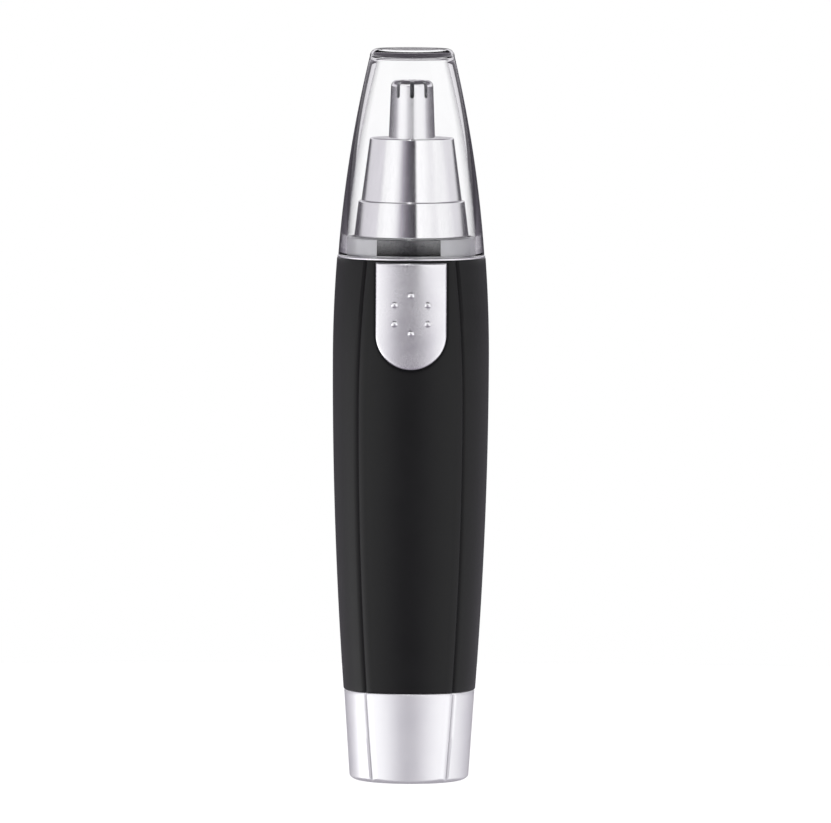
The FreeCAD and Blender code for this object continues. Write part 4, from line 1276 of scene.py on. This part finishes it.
@dataclass
class BatteryDoor:
    """Silver door with its black bayonet insert, seal and contact spring."""

    form: OuterForm
    bayonet: Bayonet
    foot_rounding: float = 1.9
    rim_rounding: float = 0.3
    floor: float = 1.4
    insert_radius: float = 9.9
    spigot_radius: float = 10.3
    spigot_top: float = heights("cap_insert")[1]
    insert_bore: float = 8.9
    insert_floor: float = 2.4
    groove: float = 0.7
    seal_levels: Spot = heights("door_seal")
    lug_z: float = 20.3
    spring_radius: float = 4.68
    spring_wire: float = 0.3
    spring_levels: Spot = (2.7, 6.1)
    spring_turns: int = 3
    rings: int = 26
    foot_steps: int = 15
    foot_blend: float = 0.12
    seal_gap: float = 0.1

    def foot_limit(self, z: float) -> float:
        """Gives the largest radius that the door's rounded foot leaves.

        Args:
            z: Height to look at.

        Returns:
            The radius.
        """
        flat = self.form.door_radius(0) + self.form.panel_proud - self.foot_rounding
        if z >= self.foot_rounding:
            return 2 * self.form.foot_radius
        rise = 1 - z / self.foot_rounding
        return flat + self.foot_rounding * math.sqrt(max(0.0, 1 - rise * rise))

    def shell_ring(self, z: float, inset: float) -> Ring:
        """Draws the door's outer ring, kept inside the rounded foot.

        Args:
            z: Height of the ring.
            inset: How far it moves in.

        Returns:
            The ring's points.
        """
        ring = drawn_in(self.form.outline(z, self.form.door_radius(z)), inset, z)
        limit = self.foot_limit(z)
        kept = []
        for spot in ring:
            radius = math.hypot(spot.x, spot.y)
            share = soft_least(radius, limit, self.foot_blend) / radius
            kept.append(Vector((spot.x * share, spot.y * share, z)))
        return kept

    def cover(self) -> Piece:
        """Builds the silver cover.

        Returns:
            The finished cover.
        """
        top = self.form.foot_z
        guide = self.form.outline(top, self.form.door_radius(top))
        rings = [round_inside(guide, self.insert_radius, z) for z in (self.floor, top)]
        rings += [self.shell_ring(z, inset) for z, inset in rim_steps(top, self.rim_rounding, -1)]
        straight_top = top - self.rim_rounding
        for step in range(1, self.rings):
            z = straight_top + (self.foot_rounding - straight_top) * step / self.rings
            rings.append(self.shell_ring(z, 0.0))
        for step in range(self.foot_steps):
            angle = math.radians(90 * step / self.foot_steps)
            rings.append(self.shell_ring(self.foot_rounding * (1 - math.sin(angle)), 0.0))
        rings.append(self.shell_ring(0.0, 0.0))
        return fit(skin("door_cover", rings), "bottom_cap", DOOR_LACQUER)

    def insert(self) -> Piece:
        """Builds the black insert with its spigot, seal groove and lugs.

        Returns:
            The finished insert.
        """
        low, high = self.seal_levels[0] - self.seal_gap, self.seal_levels[1] + self.seal_gap
        step_z, spigot, bore = self.form.foot_z, self.spigot_radius, self.insert_bore
        groove = spigot - self.groove
        insert = turned("door_insert", rounded([
            (0.0, self.floor, 0), (self.insert_radius, self.floor, 0), (self.insert_radius, step_z, 0),
            (spigot, step_z, 0.05), (spigot, low, 0.05), (groove, low, 0), (groove, high, 0),
            (spigot, high, 0.05), (spigot, self.spigot_top, 0.25), (bore, self.spigot_top, 0.15),
            (bore, self.insert_floor, 0.3), (0.0, self.insert_floor, 0),
        ]))
        lugs = self.bayonet.lugs(spigot, self.lug_z)
        return fit(worked(insert, lugs, Joining.WELD), "cap_insert", INNER_BLACK)

    def seal(self) -> Piece:
        """Builds the rubber ring in the insert's groove.

        Returns:
            The finished ring.
        """
        low, high = self.seal_levels
        inner, outer = self.spigot_radius - self.groove, reach("door_seal")
        outline = rounded([(inner, low, 0.15), (outer, low, 0.3), (outer, high, 0.3), (inner, high, 0.15)])
        return fit(turned("door_seal_ring", outline), "door_seal", SEAL_RUBBER)

    def dress(self) -> list[Piece]:
        """Builds and finishes every piece of the door.

        Returns:
            The cover, the insert, the seal and the spring.
        """
        levels, turns = self.spring_levels, self.spring_turns
        spring = spring_coil("door_spring", self.spring_radius, self.spring_wire, levels, turns)
        return [self.cover(), self.insert(), self.seal(), fit(spring, "battery_spring", SPRING_STEEL)]


@dataclass
class Cell:
    """Plain battery cell in its shrink film."""

    radius: float = 7.2
    film: float = 0.2
    levels: Spot = heights("battery_cell")
    nub_radius: float = 2.75
    nub_height: float = 1.5
    foot_dish: float = 0.12
    shoulder_dish: float = 0.25
    film_margin: float = 0.6

    def dress(self) -> list[Piece]:
        """Builds and finishes the can and its film.

        Returns:
            Both pieces.
        """
        low, high = self.levels
        inner, shoulder = self.radius - self.film, high - self.nub_height
        foot, dish, nub = low + self.foot_dish, shoulder - self.shoulder_dish, self.nub_radius
        can = turned("cell_can", rounded([
            (0.0, low, 0), (inner - 1.2, low, 0.2), (inner - 0.9, foot, 0.1), (inner, foot, 0.5),
            (inner, shoulder, 0.5), (inner - 1.1, shoulder, 0.1), (inner - 1.3, dish, 0.1),
            (nub + 1.0, dish, 0.2), (nub, shoulder, 0.3), (nub, high, 0.35), (0.0, high, 0),
        ]))
        start, end = low + self.film_margin, shoulder - self.film_margin
        film = turned("cell_film_sleeve", rounded([
            (inner, start, 0), (self.radius, start, 0.15), (self.radius, end, 0.15), (inner, end, 0),
        ]))
        return [fit(can, "battery_cell", CELL_STEEL), fit(film, "battery_jacket", CELL_FILM)]


@dataclass
class Head:
    """Brushed metal base ring and cone with the slotted guard tube."""

    bayonet: Bayonet
    foot_z: float = heights("head_base_ring")[0]
    ring_z: float = 100.5
    cone_z: float = heights("head_base_ring")[1]
    tip_z: float = heights("head_cone")[1]
    guard_top: float = heights("guard_tube")[1]
    spigot_radius: float = 9.9
    bore: float = 8.7
    neck_bore: float = 7.9
    ring_foot: float = 10.55
    ring_crown: float = 9.75
    cone_foot: float = 9.25
    cone_tip: float = 7.7
    cone_spigot: float = 8.65
    spigot_depth: float = 1.4
    cone_wall: float = 1.0
    ledge_z: float = 98.7
    clip_levels: Spot = (96.7, 97.3)
    clip_groove: float = 9.1
    lug_z: float = 95.9
    guard_foot: float = 4.25
    guard_tip: float = 3.85
    guard_wall: float = 0.35
    guard_rounding: float = 1.2
    guard_flange: float = 5.65
    slots: int = 9
    slot_width: float = 0.75
    slot_depth: float = 3.2
    slot_inner: float = 1.5
    slot_end_steps: int = 8
    guard_steps: int = 12
    beyond: float = 1.0
    cone_gap: float = 0.05
    cone_lip: float = 0.6
    depth_gap: float = 0.1
    hole_gap: float = 0.02
    flange_depth: float = 0.55

    def base_ring(self) -> Piece:
        """Builds the base ring with its spigot and lugs.

        Returns:
            The finished ring.
        """
        counterbore = self.cone_z - self.spigot_depth - self.depth_gap
        low, high = self.clip_levels
        bore, spigot, socket = self.bore, self.spigot_radius, self.cone_spigot + self.cone_gap
        ring = turned("head_ring", rounded([
            (bore, self.foot_z, 0.1), (spigot, self.foot_z, 0.2), (spigot, self.ring_z, 0),
            (self.ring_foot, self.ring_z, 0.14), (self.ring_crown, self.cone_z, 0.16),
            (socket, self.cone_z, 0.05), (socket, counterbore, 0), (self.neck_bore, counterbore, 0),
            (self.neck_bore, self.ledge_z, 0), (bore, self.ledge_z, 0), (bore, high, 0),
            (self.clip_groove, high, 0), (self.clip_groove, low, 0), (bore, low, 0),
        ]))
        ring = worked(ring, self.bayonet.lugs(spigot, self.lug_z), Joining.WELD)
        return fit(ring, "head_base_ring", BRIGHT_METAL)

    def cone(self) -> Piece:
        """Builds the hollow cone.

        Returns:
            The finished cone.
        """
        inner = self.cone_spigot - self.cone_lip
        foot, roof = self.cone_z - self.spigot_depth, self.tip_z - self.cone_wall
        hole = self.guard_radius(roof) + self.hole_gap
        cone = turned("head_cone_shell", rounded([
            (inner, foot, 0.05), (self.cone_spigot, foot, 0.1), (self.cone_spigot, self.cone_z, 0),
            (self.cone_foot, self.cone_z, 0.1), (self.cone_tip, self.tip_z, 0.22), (hole, self.tip_z, 0.1),
            (hole, roof, 0), (self.cone_tip - self.cone_wall, roof, 0), (inner, self.cone_z, 0),
        ]))
        return fit(cone, "head_cone", BRIGHT_METAL)

    def guard_radius(self, z: float) -> float:
        """Gives the guard tube's outer radius at a height."""
        share = (z - self.tip_z) / (self.guard_top - self.tip_z)
        return self.guard_foot + (self.guard_tip - self.guard_foot) * share

    def guard(self) -> Piece:
        """Builds the guard tube with its round-ended slots.

        Returns:
            The finished tube.
        """
        roof = self.tip_z - self.cone_wall
        foot, wall, top, soft = roof - self.flange_depth, self.guard_wall, self.guard_top, self.guard_rounding
        tip, flange = self.guard_radius(top), self.guard_flange
        tube = turned("guard_tube_shell", rounded([
            (self.guard_radius(foot) - wall, foot, 0), (flange, foot, 0), (flange, roof, 0),
            (self.guard_radius(roof), roof, 0), (tip, top, soft), (0.0, top, 0), (0.0, top - wall, 0),
            (tip - wall, top - wall, soft - wall),
        ], steps=self.guard_steps))
        half = self.slot_width / 2
        round_z = top - self.slot_depth + half
        outline = [(-half, top + self.beyond), (-half, round_z)]
        for step in range(1, self.slot_end_steps):
            angle = math.pi * (1 + step / self.slot_end_steps)
            outline.append((half * math.cos(angle), round_z + half * math.sin(angle)))
        outline += [(half, round_z), (half, top + self.beyond)]
        tools = []
        for number in range(self.slots):
            angle = math.radians(-90 + 360 * number / self.slots)
            along = Vector((math.cos(angle), math.sin(angle), 0))
            across = Vector((-along.y, along.x, 0))
            tools.append(skin("guard_slot", [
                [along * radius + across * x + Vector((0, 0, z)) for x, z in outline]
                for radius in (self.slot_inner, 2 * self.guard_foot)
            ]))
        return fit(worked(tube, tools, Joining.CUT), "guard_tube", GUARD_STEEL)

    def dress(self) -> list[Piece]:
        """Builds and finishes every piece of the head."""
        return [self.base_ring(), self.cone(), self.guard()]


@dataclass
class Drive:
    """Keyed spindle carrier, the cutter's spindle and the cutter's spring."""

    carrier_radius: float = 8.6
    plate_levels: Spot = (97.4, 98.6)
    cup_bore: float = 3.5
    cup_top: float = 100.6
    seat_z: float = 101.6
    neck_top: float = heights("spindle_carrier")[1]
    neck_radius: float = 2.6
    spindle_radius: float = 1.7
    key_x: float = 6.8
    key_half: Spot = (0.8, 1.6)
    key_foot: float = heights("spindle_carrier")[0]
    tongue_levels: Spot = (96.9, 99.8)
    tongue_half: Spot = (2.6, 1.0)
    collar_z: float = 108.0
    spindle_top: float = heights("cutter_spindle")[1]
    spring_wire: float = 0.3
    spring_turns: int = 4
    bore_gap: float = 0.05
    cup_wall: float = 1.0
    key_root: float = 0.5
    key_edge: float = 0.15
    hub_radius: float = 2.8
    hub_levels: Spot = (99.7, 100.4)
    collar_reach: float = 1.9
    spindle_steps: int = 72
    spring_gap: float = 0.1

    def carrier(self) -> Piece:
        """Builds the carrier with its two keys.

        Returns:
            The finished carrier.
        """
        low, high = self.plate_levels
        bore, neck = self.spindle_radius + self.bore_gap, self.neck_radius
        seat, top = self.seat_z, self.neck_top
        cup, cup_side = self.cup_bore, self.cup_bore + self.cup_wall
        carrier = turned("carrier_bush", rounded([
            (cup, low, 0.1), (self.carrier_radius, low, 0.2), (self.carrier_radius, high, 0.2),
            (cup_side, high, 0.2), (cup_side, seat, 0.15), (neck, seat, 0.1), (neck, top, 0.2),
            (bore, top, 0.1), (bore, self.cup_top, 0), (cup, self.cup_top, 0),
        ]))
        levels = (self.key_foot, low + self.key_root)
        keys = key_bars("key", self.key_x, self.key_half, levels, self.key_edge)
        return fit(worked(carrier, keys, Joining.WELD), "spindle_carrier", GREY_ACETAL)

    def spindle(self) -> Piece:
        """Builds the spindle with its tongue and its spring collar.

        Returns:
            The finished spindle.
        """
        (low, high), (foot, crown) = self.hub_levels, (self.collar_z, self.collar_z + 1)
        hub, shaft, top = self.hub_radius, self.spindle_radius, self.spindle_top
        collar = shaft + self.collar_reach
        spindle = turned("cutter_spindle_shaft", rounded([
            (0.0, low, 0), (hub, low, 0.1), (hub, high, 0.1), (shaft, high, 0), (shaft, foot, 0),
            (collar, foot, 0.2), (collar, crown, 0.2), (shaft, crown, 0), (shaft, top, 0.1), (0.0, top, 0),
        ]), self.spindle_steps)
        x, y = self.tongue_half
        tongue = bar("tongue", (-x, x), (-y, y), self.tongue_levels, self.key_edge)
        return fit(worked(spindle, [tongue], Joining.WELD), "cutter_spindle", WHITE_ACETAL)

    def dress(self) -> list[Piece]:
        """Builds and finishes every piece of the drive.

        Returns:
            The carrier, the spindle and the spring.
        """
        radius = self.neck_radius + self.spring_wire + self.spring_gap
        levels = (self.seat_z, self.collar_z)
        spring = spring_coil("cutter_seat_spring", radius, self.spring_wire, levels, self.spring_turns)
        return [self.carrier(), self.spindle(), fit(spring, "cutter_spring", SPRING_STEEL)]


@dataclass
class ClearCap:
    """Clear protective cap with a real wall."""

    foot_z: float = heights("protective_cap")[0]
    top_z: float = heights("protective_cap")[1]
    foot_radius: float = 13.45
    tip_radius: float = 7.8
    land_radius: float = 11.95
    land_top: float = 100.6
    wall: float = 1.2
    roof: float = 1.6
    bow: float = 0.75
    rounding: float = 1.35
    inner_rounding: float = 0.7
    lip: float = 0.1
    lip_inner: float = 0.08
    lip_outer: float = 0.12
    side_steps: int = 60
    shoulder_steps: int = 14
    turn_steps: int = 192

    def bell(self, foot: Spot, tip: Spot, rounding: float) -> list[Spot]:
        """Draws a bowed side with a rounded shoulder, from its foot to the axis.

        Args:
            foot: Radius and height of the foot.
            tip: Radius and height of the flat top's corner, before rounding.
            rounding: Radius of the shoulder.

        Returns:
            The outline's spots.
        """
        shoulder = tip[1] - rounding
        middle = ((foot[0] + tip[0]) / 2 + self.bow, (foot[1] + shoulder) / 2)
        side = arc_through(foot, middle, (tip[0], shoulder), self.side_steps)
        slant = math.sin(math.radians(45))
        bend = (tip[0] - rounding * (1 - slant), shoulder + rounding * slant)
        over = arc_through(side[-1], bend, (tip[0] - rounding, tip[1]), self.shoulder_steps)
        return [*side[:-1], *over, (0.0, tip[1])]

    def dress(self) -> list[Piece]:
        """Builds and finishes the cap.

        Returns:
            The cap alone.
        """
        foot, land = self.foot_z, self.land_radius
        outer_foot = (self.foot_radius, foot + self.lip_outer)
        outer = self.bell(outer_foot, (self.tip_radius, self.top_z), self.rounding)
        hollow_tip = (self.tip_radius - self.wall, self.top_z - self.roof)
        inner = self.bell((land - self.lip, self.land_top), hollow_tip, self.inner_rounding * self.rounding)
        mouth = [(land, self.land_top), (land, foot + self.lip_inner)]
        lip = [(land + self.lip_inner, foot), (self.foot_radius - self.lip, foot)]
        cap = turned("clear_cap_shell", [*outer, *reversed(inner), *mouth, *lip], self.turn_steps)
        return [fit(cap, "protective_cap", CLEAR)]


@dataclass
class KeptParts:
    """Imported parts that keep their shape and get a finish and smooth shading."""

    finishes: dict[str, Finish] = field(default_factory=lambda: dict(KEPT_FINISHES))
    weld: float = 1e-7

    def smoothing(self) -> Tree:
        """Builds the modifier group that shades smooth across shallow edges.

        Returns:
            The node group.
        """
        group = bpy.data.node_groups.new("smooth_shallow_edges", "GeometryNodeTree")
        for way in ("INPUT", "OUTPUT"):
            group.interface.new_socket("Geometry", in_out=way, socket_type="NodeSocketGeometry")
        start = group.nodes.new("NodeGroupInput").outputs["Geometry"]
        merge = add_node(group, "GeometryNodeMergeByDistance", {"Geometry": start, "Distance": self.weld})
        faces = add_node(group, "GeometryNodeSetShadeSmooth", {"Geometry": merge.outputs["Geometry"]})
        angle = add_node(group, "GeometryNodeInputMeshEdgeAngle", {}).outputs["Unsigned Angle"]
        steep = add_node(group, "FunctionNodeCompare", {"A": angle, "B": SHARP_ANGLE}).outputs["Result"]
        inputs = {"Geometry": faces.outputs["Geometry"], "Selection": steep, "Shade Smooth": False}
        edges = add_node(group, "GeometryNodeSetShadeSmooth", inputs, domain="EDGE")
        add_node(group, "NodeGroupOutput", {"Geometry": edges.outputs["Geometry"]})
        return group

    def dress(self) -> list[Piece]:
        """Finishes every kept part.

        Returns:
            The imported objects.
        """
        group = self.smoothing()
        parts = []
        for node, finish in self.finishes.items():
            part = frame["nodes"][node]
            part.data.materials.clear()
            part.data.materials.append(finish.material())
            part.modifiers.new(group.name, "NODES").node_group = group
            log.info("%s keeps its shape", node)
            parts.append(part)
        return parts


class SkyBelt(Enum):
    """Belts of light: where each starts and is full, and its light by direction, in degrees."""

    BELOW = (-90.0, -90.0, ((-180, 0.2), (-60, 0.3), (0, 0.25), (60, 0.3), (180, 0.2)))
    FOOT = (-36.0, -28.0, (
        (-180, 0.2), (-150, 0.35), (-118, 0.8), (-106, 1.9), (-76, 1.9), (-62, 1.25), (-45, 1.12), (-26, 0.8),
        (-13, 0.4), (0, 0.33), (12, 0.38), (26, 0.76), (45, 1.1), (75, 1.25), (95, 1.0), (130, 0.6),
        (180, 0.2),
    ))
    LOW = (-6.0, -4.6, (
        (-180, 0.1), (-150, 0.14), (-128, 0.45), (-105, 0.8), (-66, 1.0), (-46, 1.12), (-34, 1.0), (-22, 0.4),
        (-14, 0.06), (0, 0.02), (13, 0.05), (21, 0.4), (33, 1.0), (50, 1.12), (70, 1.1), (88, 0.75),
        (104, 0.55), (125, 0.35), (150, 0.16), (180, 0.1),
    ))
    EYE = (-1.8, -1.0, (
        (-180, 0.06), (-118, 0.08), (-98, 0.14), (-86, 0.32), (-74, 0.8), (-62, 1.08), (-18, 1.04),
        (-4, 0.88), (4, 0.88), (16, 1.06), (56, 1.02), (68, 0.8), (80, 0.34), (96, 0.14), (118, 0.08),
        (180, 0.06),
    ))
    MIDDLE = (2.2, 3.2, (
        (-180, 0.78), (-120, 0.78), (-100, 0.76), (-77, 0.75), (-70, 1.0), (-55, 1.1), (-38, 1.07),
        (-30, 0.86), (-22, 0.42), (-12, 0.2), (-2, 0.08), (6, 0.05), (9.5, 0.05), (11, 1.12), (30, 1.08),
        (40, 0.97),
        (50, 0.92), (62, 1.02), (76, 1.02), (88, 0.94), (102, 0.8), (121, 0.85), (147, 0.8), (180, 0.78),
    ))
    HIGH = (20.0, 25.0, (
        (-180, 0.12), (-115, 0.15), (-85, 0.4), (-70, 0.95), (-20, 0.95), (20, 0.95), (70, 0.95), (85, 0.4),
        (115, 0.15), (180, 0.12),
    ))
    OVERHEAD = (40.0, 52.0, ((-180, 0.06), (180, 0.06)))

    def __init__(self, start: float, full: float, levels: Sequence[Spot]) -> None:
        """Keeps the belt's place and light.

        Args:
            start: Elevation at which the belt starts to show.
            full: Elevation from which it shows fully.
            levels: Direction and light of each stop.
        """
        self.start = start
        self.full = full
        self.levels = levels


@dataclass
class Studio:
    """Pale floor, belts of light all round, one small softbox and the camera."""

    distance: float = 2.395
    eye_height: float = 0.238
    aim: Sequence[float] = (0.0009, 0.0, 0.06805)
    lens: float = 564.1
    sensor: float = 36.0
    near: float = 0.01
    roll: float = 0.27
    floor_z: float = -0.06
    floor_size: float = 0.9
    floor_steps: int = 96
    lamp_place: Sequence[float] = (-0.1, -0.85, 0.95)
    lamp_size: float = 0.14
    lamp_power: float = 0.9
    violet: float = 0.1

    def floor(self) -> None:
        """Lays the floor."""
        rim = circle(self.floor_size, self.floor_z, self.floor_steps)
        mesh = bpy.data.meshes.new("pale_floor")
        mesh.from_pydata(rim, [], [tuple(range(self.floor_steps))])
        mesh.materials.append(FloorPaint().material())
        floor = bpy.data.objects.new("pale_floor", mesh)
        floor.visible_glossy = False
        bpy.context.scene.collection.objects.link(floor)

    def surroundings(self) -> None:
        """Builds the belts of light, which reflections see, and the plain white behind the trimmer."""
        world = bpy.data.worlds.new("studio")
        bpy.context.scene.world = world
        world.use_nodes = True
        tree = world.node_tree
        view = add_node(tree, "ShaderNodeTexCoord", {}).outputs["Generated"]
        along = add_node(tree, "ShaderNodeSeparateXYZ", {0: view}).outputs
        forward = worked_out(tree, "MULTIPLY", along["Y"], -1)
        turn = worked_out(tree, "ARCTAN2", along["X"], forward)
        around = mapped(tree, turn, (-math.pi, math.pi))
        seen = self.lit(tree, SkyBelt.BELOW, around)
        for belt in list(SkyBelt)[1:]:
            span = (math.sin(math.radians(belt.start)), math.sin(math.radians(belt.full)))
            share = mapped(tree, along["Z"], span, curve="SMOOTHSTEP")
            seen = mixed(tree, share, seen, self.lit(tree, belt, around))
        path = add_node(tree, "ShaderNodeLightPath", {}).outputs
        bounced = worked_out(tree, "ADD", path["Glossy Depth"], path["Diffuse Depth"], clamp=True)
        feed(tree.nodes["Background"], {"Color": mixed(tree, bounced, (1, 1, 1, 1), seen)})

    def lit(self, tree: Tree, belt: SkyBelt, around: Socket) -> Socket:
        """Gives a belt's light by the direction round the object.

        Args:
            tree: The world's node tree.
            belt: The belt of the surroundings.
            around: Socket with the direction, from 0 to 1.

        Returns:
            The colour socket.
        """
        stops = []
        for degrees, level in belt.levels:
            violet = self.violet * max(0.0, 1 - level)
            stops.append((0.5 + degrees / 360, (level, level * (1 - violet), level * (1 + violet))))
        return ramped(tree, around, stops)

    def lamp(self) -> None:
        """Hangs a square softbox that faces the trimmer."""
        light = bpy.data.lights.new("top_softbox", "AREA")
        light.size = self.lamp_size
        light.energy = self.lamp_power
        lamp = bpy.data.objects.new("top_softbox", light)
        lamp.location = self.lamp_place
        lamp.rotation_euler = (Vector(self.aim) - lamp.location).to_track_quat("-Z", "Y").to_euler()
        bpy.context.scene.collection.objects.link(lamp)

    def camera(self) -> None:
        """Sets up the camera."""
        sight = bpy.data.cameras.new("studio_camera")
        sight.lens = self.lens
        sight.sensor_width = self.sensor
        sight.clip_start = self.near
        camera = bpy.data.objects.new("studio_camera", sight)
        camera.location = (0, -self.distance, self.eye_height)
        towards = (Vector(self.aim) - camera.location).to_track_quat("-Z", "Y").to_matrix().to_4x4()
        roll = Matrix.Rotation(math.radians(self.roll), 4, "Z")
        camera.matrix_world = Matrix.Translation(camera.location) @ towards @ roll
        bpy.context.scene.collection.objects.link(camera)
        bpy.context.scene.camera = camera

    def build(self) -> None:
        """Builds the whole studio."""
        self.floor()
        self.surroundings()
        self.lamp()
        self.camera()
        bpy.context.scene.view_settings.view_transform = "Standard"


def main() -> None:
    """Builds every sub-assembly, reports its pieces and builds the studio."""
    logging.basicConfig(level=logging.INFO, format="%(name)s: %(message)s")
    form, bayonet = OuterForm(), Bayonet()
    parts = [
        Casing(form, bayonet), Switch(form), BatteryDoor(form, bayonet), Cell(), Head(bayonet), Drive(),
        ClearCap(), KeptParts(),
    ]
    for part in parts:
        pieces = part.dress()
        log.info("%s: %s", type(part).__name__, ", ".join(piece.name for piece in pieces))
    Studio().build()
    bpy.context.view_layer.update()


if __name__ == "__main__":
    main()
